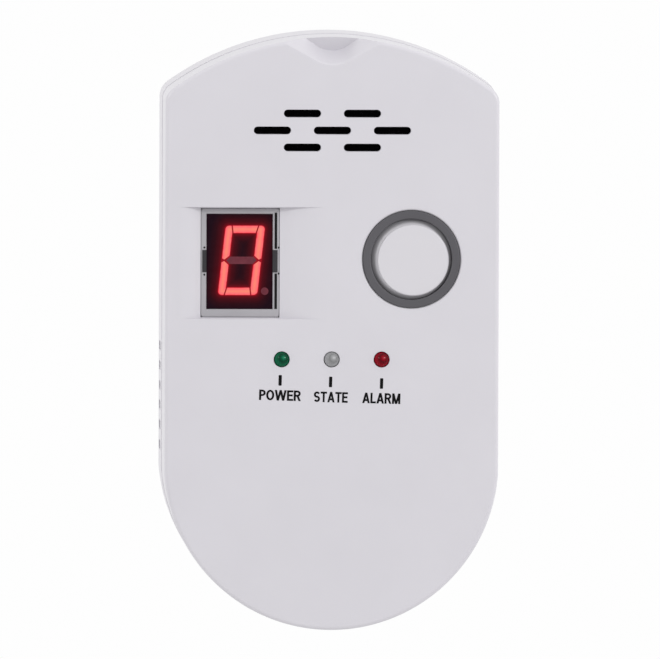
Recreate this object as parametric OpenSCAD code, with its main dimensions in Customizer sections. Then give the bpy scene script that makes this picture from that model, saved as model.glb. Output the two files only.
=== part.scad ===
// Plug-in gas alarm with a one-digit display.
// +X is to the viewer's right, +Y goes into the wall and +Z is up. The origin is the middle of the plug
// boss's engagement face, midway between the two pins. The front face looks along -Y.

/* [Body] */
// Width across the seam, the widest place
body_w = 68; // [67:0.5:70]
// Height of the top edge above the plug's centre
top_h = 51.7; // [51.3:0.1:52.5]
// Radius of the top edge
top_r = 55.4; // [54:0.2:58]
// Radius of the two top corners
corner_r = 4; // [3.6:0.1:5]
// Radius of the round bottom
bottom_r = 34.1; // [34.05:0.05:35]
// Height of the centre of the round bottom, below the plug's centre
bottom_z = -33.8; // [-36:0.1:-33.6]
// Depth of the two housings together
body_d = 38; // [38:0.5:42]
// Depth of the front housing
front_d = 20; // [20:0.5:21]
// Wall thickness of both housings
wall = 2.2; // [2:0.1:2.4]
// How far the front edge is drawn in from the rear housing's outline
draft = 0.45; // [0.4:0.05:1]
// How far the front housing is drawn in at the seam
reveal = 0.3; // [0:0.05:0.35]
// Radius of the front edge
edge_r = 0.8; // [0.5:0.1:1]
// Height of the shadow line at the seam
seam_gap = 0.3; // [0.2:0.05:0.5]

/* [Plug] */
// Radius of the plug boss
boss_r = 18.5; // [18:0.1:19]
// Height of the plug boss
boss_h = 16.5; // [15:0.5:17.5]
// Radius of a pin
pin_r = 2.4; // [2.35:0.01:2.45]
// Length of a pin outside the boss
pin_len = 19; // [18:0.5:19.5]
// Distance between the two pins' centres
pin_gap = 19; // [18:0.1:19.5]

/* [Display] */
// Centre of the display, across
display_x = -18.25; // [-18.4:0.05:-18]
// Centre of the display, up
display_z = 6.2; // [5.5:0.1:6.5]
// Width of the display module
display_w = 12.6; // [12:0.1:12.7]
// Height of the display module
display_h = 19; // [18:0.1:19.1]
// Width of the grey frame's border at the sides
frame_side = 1.6; // [1.4:0.1:1.8]
// Width of the grey frame's border at the top and the bottom
frame_end = 1.4; // [1.2:0.1:1.5]
// Depth of the scoop around the display
scoop_d = 1.6; // [1:0.1:1.8]
// Height of the lit digit
digit_h = 13.9; // [13:0.1:14.2]
// Width of the lit digit along its base
digit_w = 8; // [7.5:0.1:8.2]
// Stroke of a segment
stroke = 1.4; // [1.1:0.1:1.5]
// Lean of the digit, in degrees
lean = 6.7; // [0:0.1:8]

/* [Button] */
// Centre of the test button, across
button_x = 15.9; // [15:0.1:16.2]
// Centre of the test button, up
button_z = 6.8; // [6:0.1:7.5]
// Outer radius of the ring
ring_r = 9.85; // [9.5:0.05:10]
// Radius of the ring's hole
ring_hole_r = 8.3; // [8.1:0.05:8.4]
// Gap between the cap's foot and the ring
cap_gap = 0.2; // [0.15:0.01:0.3]
// How much smaller the cap's face is than its foot, in radius
cap_taper = 0.75; // [0.4:0.05:0.9]
// How far the cap's face lies below the ring's
cap_sunk = 0.3; // [0.1:0.1:0.8]

/* [Lamps and sounder] */
// Distance between the lamps
lamp_pitch = 10; // [9.5:0.1:10.5]
// Height of the row of lamps
lamp_z = -13.3; // [-14:0.1:-13]
// Radius of a lamp
lamp_r = 1.5; // [1.4:0.05:1.5]
// Length of a sounder slot
slot_l = 7.4; // [6:0.1:8]
// Width of a sounder slot
slot_w = 1.5; // [1.2:0.1:1.7]
// Distance between two slots of a row
slot_pitch = 12; // [11:0.1:12.2]
// Distance between two rows of slots
slot_row = 3.4; // [3:0.1:3.6]
// Height of the middle row of slots
slot_z = 32.5; // [32:0.1:33]

/* [Hidden] */
$fn = 72;

// Levels along Y, from the plug's face to the front
rear_y = -boss_h;
face_y = rear_y - body_d;
seam_y = face_y + front_d;
face_in_y = face_y + wall;
rear_in_y = rear_y - wall;
cavity_inset = draft + wall;
board_t = 1.6;
board_y = face_y + 10.6;
board_back_y = board_y + board_t;
power_board_back_y = rear_in_y - 3.5;
power_board_y = power_board_back_y - board_t;
lead_out = 0.8;

// Seam and rear edge
rear_round = 1.6;
rear_draft = 0.1;
lip_out = 1.4;
lip_play = 0.1;
lip_l = 1.8;

// Screws
screw_r = 1.5;
screw_bush_r = 3.4;
housing_screw_at = [[26, 36], [-26, 36], [18.8, -52.6], [-18.8, -52.6]];
screw_seat_y = rear_y - 9;
screw_reach = 14;
small_screw_r = 1.1;
board_screw_at = [[26.5, 21.2], [-26.5, 21.2], [22, -41], [-22, -41]];
power_screw_at = [[19.6, 16], [-19.6, 16], [19.6, 39.8], [-19.6, 39.8]];
carrier_screw_at = [[0, 10.5], [0, -10.5]];

// Plug
boss_wall = 2.5;
boss_face_t = 5;
pin_collar_r = 3;
pin_flange_r = 4.2;
pin_flange_t = 2;
pin_tail_r = 1.6;
pin_tail_y = -14;
carrier_t = 5;
notch_w = 5.6;
notch_deep = 1.5;

// Top notch: the height of its lowest point, the roundness there and the slope of its sides
notch_z = 45.6;
notch_round = 6.2;
notch_slope = 28.5;
notch_d = 3.2;
// Its floor, which leans towards the front at the top
notch_floor_z = 48.4;
notch_floor_round = 3.9;
notch_floor_slope = 34;
notch_floor_lean = 18;

// Display
scoop_left = -30.8;
scoop_right = -0.8;
scoop_margin = 0.25;
scoop_floor_y = face_y + scoop_d;
pad_back_y = scoop_floor_y + 2;
display_y = scoop_floor_y + 0.4;
face_t = 0.8;
point_r = 0.75;

// Button
cap_r = ring_hole_r - cap_gap;
ring_y = face_y - 0.2;
cap_y = ring_y + cap_sunk;
flange_t = 1;
ring_back_y = face_in_y + flange_t;
stem_y = ring_back_y + 1.55;
button_free = 0.35;
plunger_y = stem_y + button_free;
tact_y = board_y - 3.5;

// Sounder and sensor
speaker_r = 14;
speaker_z = 31.5;
cloth_t = 0.2;
sensor_z = -34;
sensor_r = 9.7;

// Transformer, centred on its centre limb
core_x = -4.5;
core_z = 31;
core_w = 26;
core_h = 22;
core_t = 9;
core_leg = 4;
core_y = power_board_y - 8.6;

// ---------- helpers ----------

// Points of a circular arc
function arc(cx, cy, r, from, to, n) =
    [for (i = [0:n]) let (a = from + (to - from) * i / n) [cx + r * cos(a), cy + r * sin(a)]];

// The housing's outline, drawn in by an even distance
function body_points(inset) =
    let (
        half = body_w / 2 - inset,
        top = top_r - inset,
        low = bottom_r - inset,
        corner = max(corner_r - inset, 0.5),
        top_c = top_h - top_r,
        corner_x = half - corner,
        corner_z = top_c + sqrt(pow(top - corner, 2) - pow(corner_x, 2)),
        turn = atan2(corner_z - top_c, corner_x),
        kink = acos(half / low),
        step = 1.5
    )
    concat(
        arc(corner_x, corner_z, corner, 0, turn, 6),
        arc(0, top_c, top, turn + step, 180 - turn - step, 24),
        arc(-corner_x, corner_z, corner, 180 - turn, 180, 6),
        arc(0, bottom_z, low, 180 + kink, 360 - kink, 48)
    );

// A flat shape drawn in X and Z, standing between two levels along Y
module plate(y0, y1) {
    translate([0, y1, 0]) rotate([90, 0, 0]) linear_extrude(y1 - y0) children();
}

// A plate with the housing's outline
module slab(y0, y1, inset) {
    plate(y0, y1) polygon(body_points(inset));
}

// A thin slab, the rib of a hull
module rib(y, inset) {
    slab(y, y + 0.02, inset);
}

// A round bar along Y
module rod(x, z, y0, y1, r) {
    translate([x, y1, z]) rotate([90, 0, 0]) cylinder(h = y1 - y0, r = r);
}

// A turned piece: the profile's height runs towards the front
module turned(x, z, y) {
    translate([x, y, z]) rotate([90, 0, 0]) rotate_extrude() children();
}

// A box given by its limits
module box(x0, x1, y0, y1, z0, z1) {
    translate([x0, y0, z0]) cube([x1 - x0, y1 - y0, z1 - z0]);
}

// A flat slot with round ends
module stadium(l, w) {
    square([l - w, w], center = true);
    for (side = [-1, 1]) translate([side * (l - w) / 2, 0]) circle(w / 2);
}

// A pan-head screw; facing is 1 for a head that looks along +Y and -1 for one that looks along -Y
module screw(x, z, y, facing, shank_r, shank_l, head_r, head_h) {
    translate([x, y, z]) rotate([-90 * facing, 0, 0]) difference() {
        union() {
            cylinder(h = head_h, r1 = head_r, r2 = head_r * 0.86);
            translate([0, 0, -shank_l]) cylinder(h = shank_l, r = shank_r);
        }
        for (turn = [0, 90]) rotate([0, 0, turn])
            translate([-head_r * 0.6, -head_r * 0.13, head_h * 0.45])
                cube([head_r * 1.2, head_r * 0.26, head_h]);
    }
}

// A bent wire: straight runs with a small ball at each bend
module wire(points, r) {
    for (i = [0:len(points) - 2]) {
        run = points[i + 1] - points[i];
        l = norm(run);
        translate(points[i])
            rotate([0, acos(run.z / l), atan2(run.y, run.x)])
                cylinder(h = l, r = r);
    }
    for (i = [1:len(points) - 2]) translate(points[i]) sphere(r * 1.06);
}

// Each lead's place on the main board, as [x, z, radius]
function display_lead_at() = [for (row = [-1, 1]) for (i = [-2:2])
    [display_x + i * 2.54, display_z + row * 7.62, 0.25]];
function lamp_lead_at() = [for (i = [-1:1]) for (side = [-1, 1])
    [i * lamp_pitch + side * 1.27, lamp_z, 0.25]];
function tact_lead_at() = [for (sx = [-1, 1]) for (sz = [-1, 1])
    [button_x + sx * 2.3, button_z + sz * 2.3, 0.35]];
function sensor_lead_at() = [for (a = [0:60:300])
    [4.75 * cos(a), sensor_z + 4.75 * sin(a), 0.5]];

// Leads that run through the board between two levels
module leads(places, y0, y1) {
    for (p = places) rod(p.x, p.y, y0, y1, p.z);
}

// ---------- housings ----------

module sounder_slots() {
    for (row = [-1:1], i = [0:(row == 0 ? 2 : 1)])
        translate([(i - (row == 0 ? 1 : 0.5)) * slot_pitch, slot_z + row * slot_row])
            stadium(slot_l, slot_w);
}

// The space that the scoop takes from the face: two round shoulders that roll down to the frame
module scoop() {
    frame_half = display_w / 2 + frame_side;
    half_h = display_h / 2 + frame_end + scoop_margin;
    left = shoulder(scoop_left, 1, display_x - frame_half - scoop_left);
    right = shoulder(scoop_right, -1, scoop_right - display_x - frame_half);
    translate([0, face_y, display_z - half_h]) linear_extrude(2 * half_h)
        polygon(concat(
            [[scoop_left, -1]],
            left,
            [for (i = [len(right) - 1:-1:0]) right[i]],
            [[scoop_right, -1]]
        ));
}

// A round shoulder's points, from the face at the given place down to the scoop's floor
function shoulder(from, way, run) =
    let (
        r = (run * run + scoop_d * scoop_d) / (2 * scoop_d),
        sweep = asin(run / r)
    )
    [for (i = [0:8]) let (a = sweep * i / 8) [from + way * r * sin(a), r * (1 - cos(a))]];

// The thumb notch in the top edge: a wide mouth that slopes in to a small floor
module top_notch() {
    hull() {
        plate(face_y - 0.5, face_y) rounded_v(notch_z, notch_round, notch_slope);
        translate([0, face_y + notch_d, notch_floor_z]) rotate([notch_floor_lean, 0, 0])
            translate([0, 0, -notch_floor_z]) plate(-0.1, 0)
                rounded_v(notch_floor_z, notch_floor_round, notch_floor_slope);
    }
}

// A V with a round bottom, open above the top edge
module rounded_v(low, round, slope) {
    high = top_h + 2;
    far = round * sin(slope) + (high - low - round * (1 - cos(slope))) / tan(slope);
    polygon(concat(
        [[-far, high]],
        arc(0, low + round, round, 270 - slope, 270 + slope, 8),
        [[far, high]]
    ));
}

module front_shell() {
    difference() {
        hull() {
            rib(seam_y - seam_gap / 2 - 0.02, reveal);
            for (a = [0:15:90])
                rib(face_y + edge_r * (1 - cos(a)), draft + edge_r * (1 - sin(a)));
        }
        slab(face_in_y, seam_y + 1, cavity_inset);
    }
}

module front_housing() {
    color([0.83, 0.82, 0.84]) difference() {
        union() {
            front_shell();
            // Lip that enters the rear housing
            difference() {
                slab(seam_y - 2, seam_y + lip_l, lip_out);
                slab(seam_y - 3, seam_y + 3, cavity_inset);
            }
            // Pad behind the scoop, speaker collar and the wall behind the notch
            box(scoop_left + 1, scoop_right + 1, face_in_y - 0.1, pad_back_y,
                display_z - 13, display_z + 12.5);
            rod(0, speaker_z, face_in_y - 0.1, face_in_y + 5, speaker_r + 1.3);
            intersection() {
                slab(face_in_y - 0.1, face_in_y + 3, draft + 1);
                box(-10.5, 10.5, face_in_y - 0.1, face_in_y + 3, 46.6, 54);
            }
            for (p = housing_screw_at)
                rod(p.x, p.y, face_in_y - 0.1, seam_y, screw_bush_r);
            for (p = board_screw_at) rod(p.x, p.y, face_in_y - 0.1, board_y, 2.6);
        }
        for (p = housing_screw_at)
            rod(p.x, p.y, screw_seat_y - screw_reach - 1, seam_y + 1, screw_r);
        for (p = board_screw_at) rod(p.x, p.y, board_y - 6.5, board_y + 1, small_screw_r);
        plate(face_y - 1, face_in_y + 1) sounder_slots();
        for (i = [-1:1]) rod(i * lamp_pitch, lamp_z, face_y - 1, face_in_y + 1, lamp_r + 0.1);
        rod(button_x, button_z, face_y - 1, face_in_y + 1, ring_r);
        scoop();
        box(display_x - display_w / 2 - frame_side, display_x + display_w / 2 + frame_side,
            face_y - 1, pad_back_y + 1,
            display_z - display_h / 2 - frame_end, display_z + display_h / 2 + frame_end);
        top_notch();
        // Room for the speaker and for its cloth, which is wider
        rod(0, speaker_z, face_in_y, face_in_y + 6, speaker_r + 0.1);
        box(-17.2, 17.2, face_in_y, face_in_y + 0.6, 26.8, 38.2);
    }
}

// Vents beside the sensor, in the two side walls and the rear wall
module vents() {
    for (side = [-1, 1], i = [0:5])
        translate([side * body_w / 2, (seam_y + rear_y) / 2 + 0.5, -12 - i * 4])
            rotate([0, 90, 0]) rotate([0, 0, 90]) linear_extrude(12, center = true) stadium(9, 1.8);
    plate(rear_in_y - 1, rear_y + 1)
        for (i = [0:5]) translate([0, -26 - i * 4]) stadium(26 - abs(i - 2) * 2, 1.8);
}

module rear_housing() {
    lip_in = lip_out - lip_play;
    color([0.80, 0.79, 0.82]) difference() {
        union() {
            difference() {
                hull() {
                    rib(seam_y + seam_gap / 2, 0);
                    for (a = [0:18:90])
                        rib(rear_y - 0.02 - rear_round * (1 - cos(a)), rear_draft + rear_round * (1 - sin(a)));
                }
                slab(seam_y - 1, rear_in_y, cavity_inset);
                slab(seam_y - 1, seam_y + lip_l + 0.2, lip_in);
                rod(0, 0, rear_in_y - 1, rear_y + 1, boss_r - boss_wall);
            }
            // Plug boss with its two side notches
            difference() {
                rod(0, 0, rear_y - 0.4, 0, boss_r);
                rod(0, 0, rear_y - 2, -boss_face_t, boss_r - boss_wall);
                for (side = [-1, 1])
                    box(-notch_w / 2, notch_w / 2, rear_y, 1,
                        side * boss_r - notch_deep, side * boss_r + notch_deep);
            }
            for (p = housing_screw_at) rod(p.x, p.y, seam_y, rear_in_y + 0.2, screw_bush_r + 1);
            for (p = power_screw_at) rod(p.x, p.y, power_board_back_y, rear_in_y + 0.2, 2.4);
        }
        for (p = housing_screw_at) {
            rod(p.x, p.y, seam_y - 1, rear_y + 1, screw_r + 0.2);
            rod(p.x, p.y, screw_seat_y, rear_y + 1, screw_bush_r - 0.2);
        }
        for (p = power_screw_at) rod(p.x, p.y, power_board_back_y - 1, rear_in_y + 0.6, small_screw_r);
        for (p = carrier_screw_at) rod(p.x, p.y, -boss_face_t - 1, -1.4, small_screw_r);
        for (side = [-1, 1]) rod(side * pin_gap / 2, 0, -boss_face_t - 1, 1, pin_collar_r);
        vents();
        // Shallow seat for the rating plate
        box(-17, 17, rear_y - 0.2, rear_y + 1, 26, 43);
    }
}

module housing_screws() {
    color([0.72, 0.72, 0.74])
        for (p = housing_screw_at)
            screw(p.x, p.y, screw_seat_y, 1, screw_r, screw_reach, 2.9, 2.1);
}

module rating_plate() {
    color([0.86, 0.86, 0.87]) box(-17, 17, rear_y - 0.2, rear_y + 0.1, 26, 43);
}

// ---------- plug ----------

// A pin's profile, from the tail inside the boss to the round tip
module pin(side) {
    straight = pin_len - pin_r;
    flange_y = boss_face_t;
    color([0.80, 0.80, 0.78]) translate([side * pin_gap / 2, 0, 0]) rotate([-90, 0, 0]) rotate_extrude()
        polygon(concat(
            [[0, pin_tail_y], [pin_tail_r, pin_tail_y], [pin_tail_r, -flange_y - pin_flange_t],
                [pin_flange_r, -flange_y - pin_flange_t], [pin_flange_r, -flange_y],
                [pin_collar_r, -flange_y], [pin_collar_r, 0], [pin_r, 0]],
            arc(0, straight, pin_r, 0, 90, 8)
        ));
}

module pin_left() {
    pin(-1);
}

module pin_right() {
    pin(1);
}

module pin_carrier() {
    back = -boss_face_t;
    color([0.92, 0.90, 0.85]) difference() {
        rod(0, 0, back - carrier_t, back, boss_r - boss_wall - 0.5);
        for (side = [-1, 1]) {
            rod(side * pin_gap / 2, 0, back - pin_flange_t, back + 1, pin_flange_r);
            rod(side * pin_gap / 2, 0, back - carrier_t - 1, back + 1, pin_tail_r);
        }
        for (p = carrier_screw_at) rod(p.x, p.y, back - carrier_t - 1, back + 1, small_screw_r + 0.2);
    }
}

module carrier_screws() {
    color([0.72, 0.72, 0.74])
        for (p = carrier_screw_at)
            screw(p.x, p.y, -boss_face_t - carrier_t, -1, small_screw_r, carrier_t + 3, 2.1, 1.5);
}

// ---------- test button ----------

module test_button() {
    round = 0.4;
    top = cap_r - cap_taper - round;
    skirt_in = 6.2;
    back = ring_back_y + 0.05;
    color([0.84, 0.83, 0.84]) {
        turned(button_x, button_z, 0) polygon(concat(
            [[0, -cap_y]],
            [for (i = [0:6]) let (a = 90 - i * 15)
                [top + round * cos(a), -cap_y - round + round * sin(a)]],
            [[cap_r, -back], [cap_r + 1, -back], [cap_r + 1, -back - 1], [skirt_in, -back - 1],
                [skirt_in, -cap_y - 2], [2, -cap_y - 2], [2, -stem_y], [0, -stem_y]]
        ));
    }
}

module button_ring() {
    round = 0.3;
    mid = (ring_r + ring_hole_r) / 2;
    color([0.34, 0.33, 0.35]) turned(button_x, button_z, 0) polygon([
        [ring_hole_r, -ring_y - round], [ring_hole_r + round, -ring_y], [mid, -ring_y],
        [ring_r - round, -ring_y], [ring_r, -ring_y - round], [ring_r, -face_in_y],
        [ring_r + 1, -face_in_y], [ring_r + 1, -ring_back_y], [ring_hole_r, -ring_back_y]
    ]);
}

module tact_switch() {
    half = 3;
    color([0.12, 0.12, 0.13]) difference() {
        box(button_x - half, button_x + half, tact_y, board_y, button_z - half, button_z + half);
        rod(button_x, button_z, tact_y - 1, tact_y + 1.2, 1.85);
        // Room for the four pins' heads
        leads(tact_lead_at(), board_y - 0.6, board_y + 1);
    }
}

module tact_plunger() {
    color([0.20, 0.20, 0.22]) rod(button_x, button_z, plunger_y, tact_y + 0.7, 1.75);
}

module tact_pins() {
    color([0.75, 0.75, 0.72]) leads(tact_lead_at(), board_y - 0.6, board_back_y + lead_out);
}

// ---------- display ----------

module display_frame() {
    half_w = display_w / 2 + frame_side;
    half_h = display_h / 2 + frame_end;
    play = 0.05;
    clip_half = 3.4;
    color([0.47, 0.46, 0.48]) translate([display_x, 0, display_z]) difference() {
        union() {
            box(-half_w, half_w, scoop_floor_y, pad_back_y, -half_h, half_h);
            box(-half_w - 1, half_w + 1, pad_back_y, pad_back_y + 1, -half_h - 1, half_h + 1);
        }
        box(-display_w / 2 - play, display_w / 2 + play, scoop_floor_y - 1, pad_back_y + 2,
            -display_h / 2 - play, display_h / 2 + play);
        // The sunk side strips, which the two clips break
        for (side = [-1, 1], end = [-1, 1])
            box(side * (display_w / 2 + 0.3) - 0.35, side * (display_w / 2 + 0.3) + 0.35,
                scoop_floor_y - 1, scoop_floor_y + 0.6,
                end > 0 ? clip_half : -display_h / 2, end > 0 ? display_h / 2 : -clip_half);
    }
}

module display_case() {
    color([0.15, 0.13, 0.15])
        box(display_x - display_w / 2, display_x + display_w / 2, display_y + face_t, board_y - 0.5,
            display_z - display_h / 2, display_z + display_h / 2);
}

// A point of the digit, leaned over; the digit's centre is the origin
function leaned(p) = [p.x + p.y * tan(lean), p.y];

// A bar between two corners of the digit, with pointed ends and a gap to its neighbours
module bar(from, to) {
    gap = 0.16;
    along = (to - from) / norm(to - from);
    across = [-along.y, along.x];
    a = from + along * gap;
    b = to - along * gap;
    t = stroke / 2;
    polygon([for (p = [a, a + (along + across) * t, b - (along - across) * t, b,
        b - (along + across) * t, a + (along - across) * t]) leaned(p)]);
}

// The seven bars' centre lines
seg_w = (digit_w - stroke) / 2;
seg_h = (digit_h - stroke) / 2;
outer_bars = [
    [[-seg_w, seg_h], [seg_w, seg_h]], [[-seg_w, -seg_h], [seg_w, -seg_h]],
    [[-seg_w, 0], [-seg_w, seg_h]], [[seg_w, 0], [seg_w, seg_h]],
    [[-seg_w, -seg_h], [-seg_w, 0]], [[seg_w, -seg_h], [seg_w, 0]]
];

module digit_outer() {
    for (b = outer_bars) translate([display_x, display_z]) bar(b[0], b[1]);
}

module digit_middle() {
    translate([display_x, display_z]) bar([-seg_w, 0], [seg_w, 0]);
}

module digit_point() {
    translate([display_x + 5, display_z - 6.1]) circle(point_r);
}

module display_face() {
    color([0.10, 0.06, 0.08]) difference() {
        box(display_x - display_w / 2, display_x + display_w / 2, display_y, display_y + face_t,
            display_z - display_h / 2, display_z + display_h / 2);
        plate(display_y - 1, display_y + face_t + 1) {
            digit_outer();
            digit_middle();
            digit_point();
        }
    }
}

module display_segments() {
    color([1, 0.25, 0.2]) plate(display_y, display_y + face_t) digit_outer();
}

module display_middle_segment() {
    color([0.43, 0.21, 0.25]) plate(display_y, display_y + face_t) digit_middle();
}

module display_point() {
    color([0.36, 0.16, 0.21]) plate(display_y, display_y + face_t) digit_point();
}

module display_pins() {
    color([0.78, 0.78, 0.75]) leads(display_lead_at(), board_y - 0.5, board_back_y + lead_out);
}

// ---------- lamps ----------

module lamp(i) {
    base = face_in_y + 2.3;
    tip = face_y - 0.8;
    turned(i * lamp_pitch, lamp_z, 0) polygon(concat(
        [[0, -base], [lamp_r + 0.4, -base], [lamp_r + 0.4, -base + 0.9], [lamp_r, -base + 0.9]],
        arc(0, -tip - lamp_r, lamp_r, 0, 90, 8)
    ));
}

module lamp_power() {
    color([0.02, 0.35, 0.15]) lamp(-1);
}

module lamp_state() {
    color([0.75, 0.75, 0.76]) lamp(0);
}

module lamp_alarm() {
    color([0.60, 0.02, 0.04]) lamp(1);
}

module lamp_leads() {
    color([0.78, 0.78, 0.75]) leads(lamp_lead_at(), face_in_y + 2.3, board_back_y + lead_out);
}

module lamp_spacers() {
    color([0.90, 0.90, 0.88]) difference() {
        for (i = [-1:1]) rod(i * lamp_pitch, lamp_z, face_in_y + 2.3, board_y, 2);
        leads(lamp_lead_at(), face_in_y, board_back_y);
    }
}

// ---------- boards ----------

module main_board() {
    color([0.10, 0.38, 0.20]) difference() {
        plate(board_y, board_back_y) difference() {
            intersection() {
                polygon(body_points(cavity_inset + 0.6));
                translate([-body_w / 2, -47]) square([body_w, 70.6]);
            }
            translate([0, speaker_z]) circle(speaker_r + 1.6);
            for (p = board_screw_at) translate(p) circle(small_screw_r + 0.3);
        }
        for (places = [display_lead_at(), lamp_lead_at(), tact_lead_at(), sensor_lead_at()])
            leads(places, board_y - 1, board_back_y + 1);
    }
}

module main_board_screws() {
    color([0.72, 0.72, 0.74])
        for (p = board_screw_at)
            screw(p.x, p.y, board_back_y, 1, small_screw_r, board_t + 5.5, 2.1, 1.5);
}

module power_board() {
    color([0.55, 0.42, 0.20]) plate(power_board_y, power_board_back_y) difference() {
        translate([-21.5, 13.5]) square([43, 29]);
        for (p = power_screw_at) translate(p) circle(small_screw_r + 0.3);
    }
}

module power_board_screws() {
    color([0.72, 0.72, 0.74])
        for (p = power_screw_at)
            screw(p.x, p.y, power_board_y, -1, small_screw_r, board_t + 3.8, 2.1, 1.5);
}

module microcontroller() {
    x = 14;
    z = -4.5;
    legs = 10;
    pitch = 1.27;
    color([0.08, 0.08, 0.09]) box(x - 6.4, x + 6.4, board_back_y + 0.2, board_back_y + 2.5, z - 3.7, z + 3.7);
    color([0.78, 0.78, 0.75])
        for (i = [0:legs - 1], side = [-1, 1])
            translate([x + (i - (legs - 1) / 2) * pitch - 0.2, board_back_y, z + side * 4.4 - 0.7])
                cube([0.4, 0.9, 1.4]);
}

module trimmer() {
    color([0.10, 0.30, 0.65]) difference() {
        box(-21.5, -12, board_back_y, board_back_y + 4.8, -28.5, -19);
        rod(-16.7, -23.8, board_back_y + 3.9, board_back_y + 6, 2.2);
    }
    color([0.95, 0.95, 0.92]) difference() {
        rod(-16.7, -23.8, board_back_y + 3.9, board_back_y + 5, 2.1);
        box(-18.4, -15, board_back_y + 4.5, board_back_y + 6, -24.1, -23.5);
    }
}

module chip_resistors() {
    color([0.14, 0.14, 0.15])
        for (i = [0:5], row = [0:2])
            translate([12.2 + row * 4.2, board_back_y, -14 - i * 2.6]) cube([3.2, 0.6, 1.6]);
}

module can(x, z, y0, y1, r) {
    groove = 0.25;
    l = y1 - y0;
    turned(x, z, y1) polygon([[0, 0], [r - 0.4, 0], [r, 0.4], [r, 1.6], [r - groove, 1.9], [r - groove, 2.3],
        [r, 2.6], [r, l - 0.4], [r - 0.4, l], [0, l]]);
}

module board_capacitor() {
    color([0.12, 0.13, 0.30])
        mirror([0, 1, 0]) can(-16, -8, -board_back_y - 11, -board_back_y, 5);
}

module board_connector() {
    color([0.93, 0.92, 0.88]) difference() {
        box(9.9, 19.4, board_back_y, board_back_y + 6, 12, 17.8);
        box(10.7, 18.6, board_back_y + 1.2, board_back_y + 7, 12.8, 17);
    }
}

// ---------- speaker ----------

module speaker_cloth() {
    color([0.05, 0.04, 0.05]) box(-17, 17, face_in_y, face_in_y + cloth_t, 27, 38);
}

module speaker_basket() {
    front = -(face_in_y + cloth_t);
    color([0.25, 0.25, 0.27]) turned(0, speaker_z, 0) polygon([
        [speaker_r, front], [speaker_r, front - 1.6], [speaker_r - 1.4, front - 1.6], [9, front - 4.6],
        [6, front - 4.6], [6, front - 3.8], [8.6, front - 3.8], [speaker_r - 2.4, front - 1],
        [speaker_r - 1.2, front - 1], [speaker_r - 1.2, front]
    ]);
}

module speaker_cone() {
    front = -(face_in_y + cloth_t);
    color([0.16, 0.15, 0.15]) turned(0, speaker_z, 0) polygon([
        [0, front - 1.2], [2, front - 1.3], [3.4, front - 2], [5, front - 2.6], [10.6, front - 0.5],
        [speaker_r - 1.2, front - 0.4], [speaker_r - 1.2, front - 0.7], [10.6, front - 0.9],
        [5, front - 3], [3.2, front - 2.4], [1.9, front - 1.7], [0, front - 1.6]
    ]);
}

module speaker_magnet() {
    front = face_in_y + cloth_t;
    color([0.35, 0.35, 0.36]) {
        rod(0, speaker_z, front + 4.6, front + 8, 7.5);
        rod(0, speaker_z, front + 3.4, front + 4.6, 5.8);
    }
}

// ---------- gas sensor ----------

module sensor_base() {
    color([0.13, 0.11, 0.10]) difference() {
        turned(0, sensor_z, 0) polygon([[0, -board_back_y - 0.8], [sensor_r - 0.6, -board_back_y - 0.8],
            [sensor_r, -board_back_y - 1.4], [sensor_r, -board_back_y - 6.2], [8.6, -board_back_y - 7],
            [0, -board_back_y - 7]]);
        leads(sensor_lead_at(), board_back_y, board_back_y + 2);
    }
}

module sensor_cap() {
    base = -board_back_y - 7;
    color([0.70, 0.70, 0.71]) turned(0, sensor_z, 0) polygon(concat(
        [[0, base], [8.4, base]],
        [for (i = [0:6]) let (a = i * 15) [6.6 + 1.8 * cos(a), base - 6.4 - 1.8 * sin(a)]],
        [[0, base - 8.2]]
    ));
}

module sensor_pins() {
    color([0.78, 0.78, 0.75]) leads(sensor_lead_at(), board_y - lead_out, board_back_y + 2);
}

// ---------- power supply ----------

module transformer_core() {
    window_l = core_h - 2 * core_leg;
    centre_half = 4;
    color([0.42, 0.43, 0.45]) translate([core_x, 0, core_z]) difference() {
        box(-core_w / 2, core_w / 2, core_y - core_t / 2, core_y + core_t / 2, -core_h / 2, core_h / 2);
        for (side = [-1, 1]) translate([side * (core_w / 4 + centre_half / 2 - core_leg / 2), core_y, 0])
            cube([core_w / 2 - core_leg - centre_half, core_t + 2, window_l], center = true);
    }
}

module transformer_bobbin() {
    tube = 0.6;
    flange = 0.8;
    half_l = core_h / 2 - core_leg;
    out_x = core_w / 2 - core_leg - 0.2;
    out_y = core_t / 2 + 3.6;
    color([0.10, 0.10, 0.10]) translate([core_x, core_y, core_z]) difference() {
        union() {
            cube([2 * (4 + tube), core_t + 2 * tube, 2 * half_l], center = true);
            for (side = [-1, 1]) translate([-out_x, -out_y, side > 0 ? half_l - flange : -half_l])
                cube([2 * out_x, 2 * out_y, flange]);
            // Feet down to the board
            for (side = [-1, 1]) translate([-out_x, out_y - 0.1, side > 0 ? half_l - flange : -half_l])
                cube([2 * out_x, 8.6 - out_y + 0.1, flange]);
        }
        cube([8, core_t, 4 * half_l], center = true);
    }
}

module transformer_winding() {
    half_l = core_h / 2 - core_leg - 0.8;
    color([0.90, 0.72, 0.18]) translate([core_x, core_y, core_z]) difference() {
        cube([2 * (core_w / 2 - core_leg - 0.5), core_t + 6.6, 2 * half_l], center = true);
        cube([9.2, core_t + 1.2, 4 * half_l], center = true);
    }
}

module fuse() {
    color([0.75, 0.70, 0.60]) translate([-7, power_board_y - 2.6, 16]) rotate([0, 90, 0]) {
        cylinder(h = 9, r = 1.8);
    }
    color([0.75, 0.75, 0.73])
        for (x = [-7.6, 2]) translate([x, power_board_y - 2.6, 16]) rotate([0, 90, 0]) cylinder(h = 0.6, r = 2);
    color([0.75, 0.75, 0.73])
        for (x = [-7.6, 2]) box(x, x + 0.6, power_board_y - 1, power_board_y, 15.6, 16.4);
}

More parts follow.
